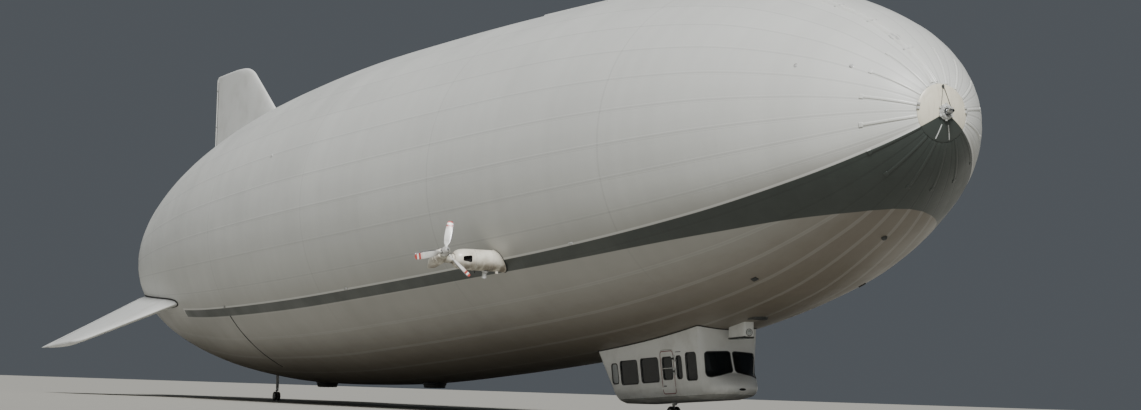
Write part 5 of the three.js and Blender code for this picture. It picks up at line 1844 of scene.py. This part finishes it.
def make_cabin(sizes):
    for name, (rows, (rail_front, rail_rear)) in SEATS.items():
        pads = []
        frames = [block((ahead(rail_rear), y - 0.012, FLOOR_TOP + 0.001),
                        (ahead(rail_front), y + 0.012, FLOOR_TOP + 0.05), 0.006)
                  for y in (-0.4, -0.34, 0.34, 0.4)]
        for station in rows:
            foot = (ahead(station), 0, FLOOR_TOP)
            frames.append(block((-0.05, -0.4, 0.002), (0.05, 0.4, 0.04), 0.01).shifted(*foot))
            for low, high in ((-0.72, -0.28), (0.28, 0.72)):
                pads += [patch.shifted(*foot) for patch in seat_pads(low, high)]
                frames += [patch.shifted(*foot) for patch in seat_frame(low, high)]
        seats = make_piece(f"{name}_cushions", pads, "seat_cloth dark_plastic",
                           replaces=f"{name}_seats", crease=50)
        make_piece(f"{name}_seat_frames", frames, "dark_plastic")
    front, rear = ahead(13.1), ahead(13.4)
    panel = [
        block((rear, -0.7, -7.75), (front, 0.7, -7.52), 0.05),
        block((rear - 0.02, -0.66, -7.54), (front, 0.66, -7.5), 0.02),
        block((rear + 0.04, -0.12, FLOOR_TOP + 0.002), (front - 0.1, 0.12, -7.7), 0.03),
    ]
    dial = turned([(0, 0), (0, 0.03), (-0.008, 0.03), (-0.01, 0.025), (-0.01, 0)], 24, finish=2)
    for y in (-0.5, -0.3, 0.3, 0.5):
        panel.append(block((rear - 0.006, y - 0.085, -7.72), (rear + 0.01, y + 0.085, -7.56), 0.01, finish=1))
        panel += [dial.shifted(rear - 0.004, y + offset, -7.64) for offset in (-0.04, 0.04)]
    make_piece("instrument_console", panel, "dark_plastic opening frosted",
               replaces="instrument_panel")


GEAR = {
    "gondola_gear": {"station": 16.8, "radius": 0.26, "track": 0.2, "trail": 0.1, "top": -8.45, "leg": 0.08},
    "tail_gear": {"station": 56.5, "radius": 0.22, "track": 0.16, "trail": 0.09, "top": None, "leg": 0.07},
}
GONDOLA_AXLE = -8.86


def axle_height(gear):
    """The ground rises aft in the level frame, because the ship stands nose-up."""
    first = GEAR["gondola_gear"]
    aft = gear["station"] - first["station"]
    return GONDOLA_AXLE + aft * math.tan(PITCH) + (gear["radius"] - first["radius"]) / math.cos(PITCH)


def tyre_patches(centre, radius, width):
    """A tyre whose section is an ellipse of power 2.6 with three bell-curve grooves, on a dished rim."""
    turn = full_turn(48)
    c, s = np.cos(turn), np.sin(turn)
    across = 0.5 * width * np.sign(c) * np.abs(c) ** (2 / 2.6)
    height = 0.79 * radius + 0.21 * radius * np.sign(s) * np.abs(s) ** (2 / 2.6)
    for place in (-0.22, 0, 0.22):
        height -= np.where(s > 0.5, 0.012 * np.exp(-((across / width - place) / 0.035) ** 2), 0)
    tyre = tube(np.stack([across, height], 1), 64, centre, "y")
    half = np.array([(-0.32, 0), (-0.32, 0.2), (-0.2, 0.3), (-0.2, 0.5), (-0.42, 0.57), (-0.42, 0.62)])
    rim = turned(np.concatenate([half, half[::-1] * (-1, 1)]) * (width, radius), 56, centre, "y", 1)
    bolts = [bolt_head(0.012, 0.012, "y", 2).shifted(0.38 * radius * math.cos(a), side * 0.2 * width,
                                                     0.38 * radius * math.sin(a)).shifted(*centre)
             for a in full_turn(6) for side in (-1, 1)]
    return [tyre, rim, *bolts]


def make_landing_gear(sizes):
    for name, gear in GEAR.items():
        x, z, r = ahead(gear["station"]), axle_height(gear), gear["leg"]
        axis = (x, 0, 0)
        yoke = z + gear["radius"] + 0.06
        top = gear["top"] if gear["top"] is not None else -float(hull_radius(gear["station"])) + 0.1
        low = yoke + 0.0606
        strut = rounded([(low, 0), (low, 0.86 * r), (low + 0.05, 0.86 * r), (low + 0.05, r), (top - 0.05, r),
                         (top - 0.05, 1.5 * r), (top - 0.012, 1.9 * r), (top + 0.02, 1.9 * r),
                         (top + 0.02, 0)], 0.006)
        collar = [(low + 0.012, 0.84 * r), (low + 0.012, 0.95 * r), (low + 0.03, 0.95 * r),
                  (low + 0.03, 0.84 * r)]
        line = x + r * 0.9
        leg = [turned(strut, 40, axis, "z"), tube(collar, 40, axis, "z", 1),
               rod((line, 0, low + 0.06), (line, 0, top - 0.02), 0.012, 10, 2)]
        make_piece(f"{name}_leg_strut", leg, "gear_paint bright_steel rubber_seal",
                   replaces=f"{name}_leg")
        back = x - gear["trail"]
        boss = [(yoke - 0.01, 0), (yoke - 0.01, 0.9 * r), (yoke + 0.06, 0.9 * r), (yoke + 0.06, 0)]
        fork = [turned(rounded(boss, 0.008), 40, axis, "z"),
                block((back - 0.05, -0.045, yoke - 0.03), (x + 0.05, 0.045, yoke + 0.03), 0.016),
                block((back - 0.05, -0.03, z - 0.05), (back + 0.05, 0.03, yoke), 0.014)]
        place = name.split("_")[0]
        make_piece(f"{name}_fork_arm", fork, "gear_paint", replaces=f"{name}_fork",
                   body=f"{place}_fork")
        width, half = gear["track"] * 0.55, gear["track"] / 2
        wheels = [rod((back, -half, z), (back, half, z), 0.034, 20, 2)]
        for side in (-1, 1):
            wheels += tyre_patches((back, side * (half + 0.15 * width), z), gear["radius"], width)
        make_piece(f"{name}_twin_wheels", wheels, "tyre_rubber gear_paint bright_steel",
                   replaces=f"{name}_wheels", body=f"{place}_wheels", crease=45)


CAMERA_PLACE = (52.4248, -23.885, -3.6612)
CAMERA_TURNS = (153.0820, 3.9152, 1.9057)    # heading, rise and roll in degrees
LENS = 85.80


def added(name, data):
    """A new object in the scene."""
    made = bpy.data.objects.new(name, data)
    bpy.context.scene.collection.objects.link(made)
    return made


def make_stage(sizes):
    across = np.linspace(-400, 400, 41)
    x, y = np.meshgrid(across, across, indexing="ij")
    mesh = bpy.data.meshes.new("stage_floor")
    points = np.stack([x, y, np.full(x.shape, FLOOR_HEIGHT - 0.002)], -1).reshape(-1, 3)
    mesh.from_pydata(points.tolist(), [], grid_faces(41, 41)[:, ::-1].tolist())
    mesh.materials.append(material("stage_floor"))
    if mesh.polygons[0].normal.z < 0:
        mesh.flip_normals()
    added("stage_floor", mesh)
    world = bpy.data.worlds.new("studio")
    world.use_nodes = True
    back = world.node_tree.nodes["Background"]
    back.inputs[0].default_value = (*sizes.backdrop, 1)
    back.inputs[1].default_value = sizes.backdrop_strength
    bpy.context.scene.world = world
    for name, direction, strength, angle in (
            ("sun", sizes.sun_from, sizes.sun_strength, 18),
            ("fill", (0.9, -0.6, 0.25), sizes.fill_strength, 60)):
        light = bpy.data.lights.new(name, "SUN")
        light.energy = strength
        light.angle = math.radians(angle)
        lamp = added(name, light)
        target = np.asarray(direction, float) / np.linalg.norm(direction)
        lamp.rotation_mode = "QUATERNION"
        lamp.rotation_quaternion = Vector(target.tolist()).to_track_quat("Z", "Y")
    heading, rise, roll = np.radians(CAMERA_TURNS)
    forward = np.array([math.cos(heading) * math.cos(rise), math.sin(heading) * math.cos(rise),
                        math.sin(rise)])
    right = np.array([math.sin(heading), -math.cos(heading), 0])
    up = np.cross(right, forward)
    right, up = math.cos(roll) * right + math.sin(roll) * up, math.cos(roll) * up - math.sin(roll) * right
    lens = bpy.data.cameras.new("camera")
    lens.lens = LENS
    lens.sensor_width = 36
    lens.clip_end = 2000
    camera = added("camera", lens)
    turn = Matrix([right.tolist(), up.tolist(), (-forward).tolist()]).transposed().to_4x4()
    camera.matrix_world = Matrix.Translation(CAMERA_PLACE) @ turn
    bpy.context.scene.camera = camera


def length(name, description, default):
    """A setting in metres."""
    return FloatProperty(name=name, description=description, default=default, unit="LENGTH")


def colour(name, description, *shares):
    """A colour setting, its default given as it looks on a screen."""
    return FloatVectorProperty(name=name, description=description, default=srgb(*shares), subtype="COLOR")


class HullSizes(PropertyGroup):
    gore_relief: length("Gore relief", "How far the skin is drawn in at a seam", 0.010)
    batten_end: length("Batten end", "Station where the nose battens end", 1.3)
    batten_height: length("Batten height", "How far a batten stands off the skin", 0.02)
    raceway_end: length("Raceway end", "Station where the cable raceway ends", 24.0)
    cloth: colour("Cloth", "Colour of the hull's cloth", 214, 215, 210)
    stripe: colour("Stripe", "Colour of the dark band", 50, 57, 53)
    cone: colour("Nose cone", "Colour of the nose cone's paint", 222, 216, 196)


class TailSizes(PropertyGroup):
    paint: colour("Fin paint", "Colour of the fins and control surfaces", 222, 223, 219)


class EngineSizes(PropertyGroup):
    pod: colour("Pod", "Colour of the engine pods", 224, 219, 204)
    blade: colour("Blades", "Colour of the propeller blades", 230, 229, 224)
    tip: colour("Tip bands", "Colour of the bands near the blades' tips", 176, 66, 58)


class GondolaSizes(PropertyGroup):
    paint: colour("Paint", "Colour of the gondola", 222, 223, 219)
    band: colour("Door band", "Colour of the line round each door", 120, 34, 34)
    glass: colour("Glass", "Tint of the windows", 58, 66, 70)
    seat: colour("Seat cloth", "Colour of the seats", 52, 64, 84)


class StageSizes(PropertyGroup):
    floor: colour("Floor", "Colour of the floor", 160, 158, 150)
    backdrop: colour("Backdrop", "Colour of the surroundings", 142, 149, 157)
    backdrop_strength: FloatProperty(
        name="Backdrop strength", description="Light from the surroundings", default=0.32)
    sun_strength: FloatProperty(
        name="Main light", description="Strength of the soft main light", default=5.0)
    fill_strength: FloatProperty(
        name="Fill light", description="Strength of the wide fill light", default=0.25)
    sun_from: FloatVectorProperty(
        name="Main light from", description="Direction towards the main light",
        default=(0.60, -0.25, 0.76), subtype="DIRECTION")


class AIRSHIP_OT_hull_skin(Operator):
    """Hull cloth in gores with its band, nose battens, cable raceway and small fittings"""
    bl_idname = "airship.hull_skin"
    bl_label = "Hull skin"

    def execute(self, context):
        make_hull_skin(context.scene.airship_hull)
        return {"FINISHED"}


class AIRSHIP_OT_nose(Operator):
    """Nose cone, mooring ring, mooring probe and bridle"""
    bl_idname = "airship.nose"
    bl_label = "Nose"

    def execute(self, context):
        make_nose(context.scene.airship_hull)
        return {"FINISHED"}


class AIRSHIP_OT_belly_fittings(Operator):
    """Belly fittings, gas valve, light box and sensors"""
    bl_idname = "airship.belly_fittings"
    bl_label = "Belly fittings"

    def execute(self, context):
        make_belly_fittings(context.scene.airship_hull)
        return {"FINISHED"}


class AIRSHIP_OT_fins(Operator):
    """Three fins with their hinge lugs and root seals"""
    bl_idname = "airship.fins"
    bl_label = "Fins"

    def execute(self, context):
        make_fins(context.scene.airship_tail)
        return {"FINISHED"}


class AIRSHIP_OT_control_surfaces(Operator):
    """Rudder and elevators"""
    bl_idname = "airship.control_surfaces"
    bl_label = "Control surfaces"

    def execute(self, context):
        make_control_surfaces(context.scene.airship_tail)
        return {"FINISHED"}


class AIRSHIP_OT_nacelles(Operator):
    """Side engine pods with intake, trim and exhaust"""
    bl_idname = "airship.nacelles"
    bl_label = "Engine pods"

    def execute(self, context):
        make_nacelles(context.scene.airship_engines)
        return {"FINISHED"}


class AIRSHIP_OT_swivels(Operator):
    """The three tilting gearboxes"""
    bl_idname = "airship.swivels"
    bl_label = "Swivels"

    def execute(self, context):
        make_swivels(context.scene.airship_engines)
        return {"FINISHED"}


class AIRSHIP_OT_propellers(Operator):
    """Side, rear and lateral propellers"""
    bl_idname = "airship.propellers"
    bl_label = "Propellers"

    def execute(self, context):
        make_propellers(context.scene.airship_engines)
        return {"FINISHED"}


class AIRSHIP_OT_stern(Operator):
    """Stern cone with the lateral strut and the rear swivel's ears"""
    bl_idname = "airship.stern"
    bl_label = "Stern"

    def execute(self, context):
        make_stern(context.scene.airship_engines)
        return {"FINISHED"}


class AIRSHIP_OT_gondola_shell(Operator):
    """Gondola walls, nose, floor and roof seal"""
    bl_idname = "airship.gondola_shell"
    bl_label = "Gondola shell"

    def execute(self, context):
        make_gondola_shell(context.scene.airship_gondola)
        return {"FINISHED"}


class AIRSHIP_OT_gondola_windows(Operator):
    """Side panes, windscreen and their seals"""
    bl_idname = "airship.gondola_windows"
    bl_label = "Gondola windows"

    def execute(self, context):
        make_gondola_windows(context.scene.airship_gondola)
        return {"FINISHED"}


class AIRSHIP_OT_doors(Operator):
    """Two doors with glass, band, latch and hinges"""
    bl_idname = "airship.doors"
    bl_label = "Doors"

    def execute(self, context):
        make_doors(context.scene.airship_gondola)
        return {"FINISHED"}


class AIRSHIP_OT_cabin(Operator):
    """Seats and instrument console"""
    bl_idname = "airship.cabin"
    bl_label = "Cabin"

    def execute(self, context):
        make_cabin(context.scene.airship_gondola)
        return {"FINISHED"}


class AIRSHIP_OT_landing_gear(Operator):
    """Legs, castoring forks and twin wheels"""
    bl_idname = "airship.landing_gear"
    bl_label = "Landing gear"

    def execute(self, context):
        make_landing_gear(context.scene.airship_gondola)
        return {"FINISHED"}


class AIRSHIP_OT_stage(Operator):
    """Floor, soft light and camera"""
    bl_idname = "airship.stage"
    bl_label = "Stage"

    def execute(self, context):
        make_stage(context.scene.airship_stage)
        return {"FINISHED"}


STEPS = (
    AIRSHIP_OT_hull_skin, AIRSHIP_OT_nose, AIRSHIP_OT_belly_fittings, AIRSHIP_OT_fins,
    AIRSHIP_OT_control_surfaces, AIRSHIP_OT_nacelles, AIRSHIP_OT_swivels, AIRSHIP_OT_propellers,
    AIRSHIP_OT_stern, AIRSHIP_OT_gondola_shell, AIRSHIP_OT_gondola_windows, AIRSHIP_OT_doors,
    AIRSHIP_OT_cabin, AIRSHIP_OT_landing_gear, AIRSHIP_OT_stage,
)
SETTINGS = {
    "airship_hull": HullSizes, "airship_tail": TailSizes, "airship_engines": EngineSizes,
    "airship_gondola": GondolaSizes, "airship_stage": StageSizes,
}


class AIRSHIP_PT_panel(Panel):
    """The steps that dress the airship, in order, with their sizes and colours"""
    bl_idname = "AIRSHIP_PT_panel"
    bl_label = "Airship"
    bl_space_type = "VIEW_3D"
    bl_region_type = "UI"
    bl_category = "Airship"

    def draw(self, context):
        for step in STEPS:
            self.layout.operator(step.bl_idname)
        for name in SETTINGS:
            group = getattr(context.scene, name)
            box = self.layout.box()
            for key in group.bl_rna.properties.keys():
                if key not in {"rna_type", "name"}:
                    box.prop(group, key)


def register():
    for cls in (*SETTINGS.values(), *STEPS, AIRSHIP_PT_panel):
        bpy.utils.register_class(cls)
    for name, group in SETTINGS.items():
        setattr(bpy.types.Scene, name, PointerProperty(type=group))


def unregister():
    for name in SETTINGS:
        delattr(bpy.types.Scene, name)
    for cls in (AIRSHIP_PT_panel, *reversed(STEPS), *reversed(SETTINGS.values())):
        bpy.utils.unregister_class(cls)


def main():
    """Registers the add-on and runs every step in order."""
    register()
    for step in STEPS:
        group, name = step.bl_idname.split(".")
        getattr(getattr(bpy.ops, group), name)()


if __name__ == "__main__":
    main()
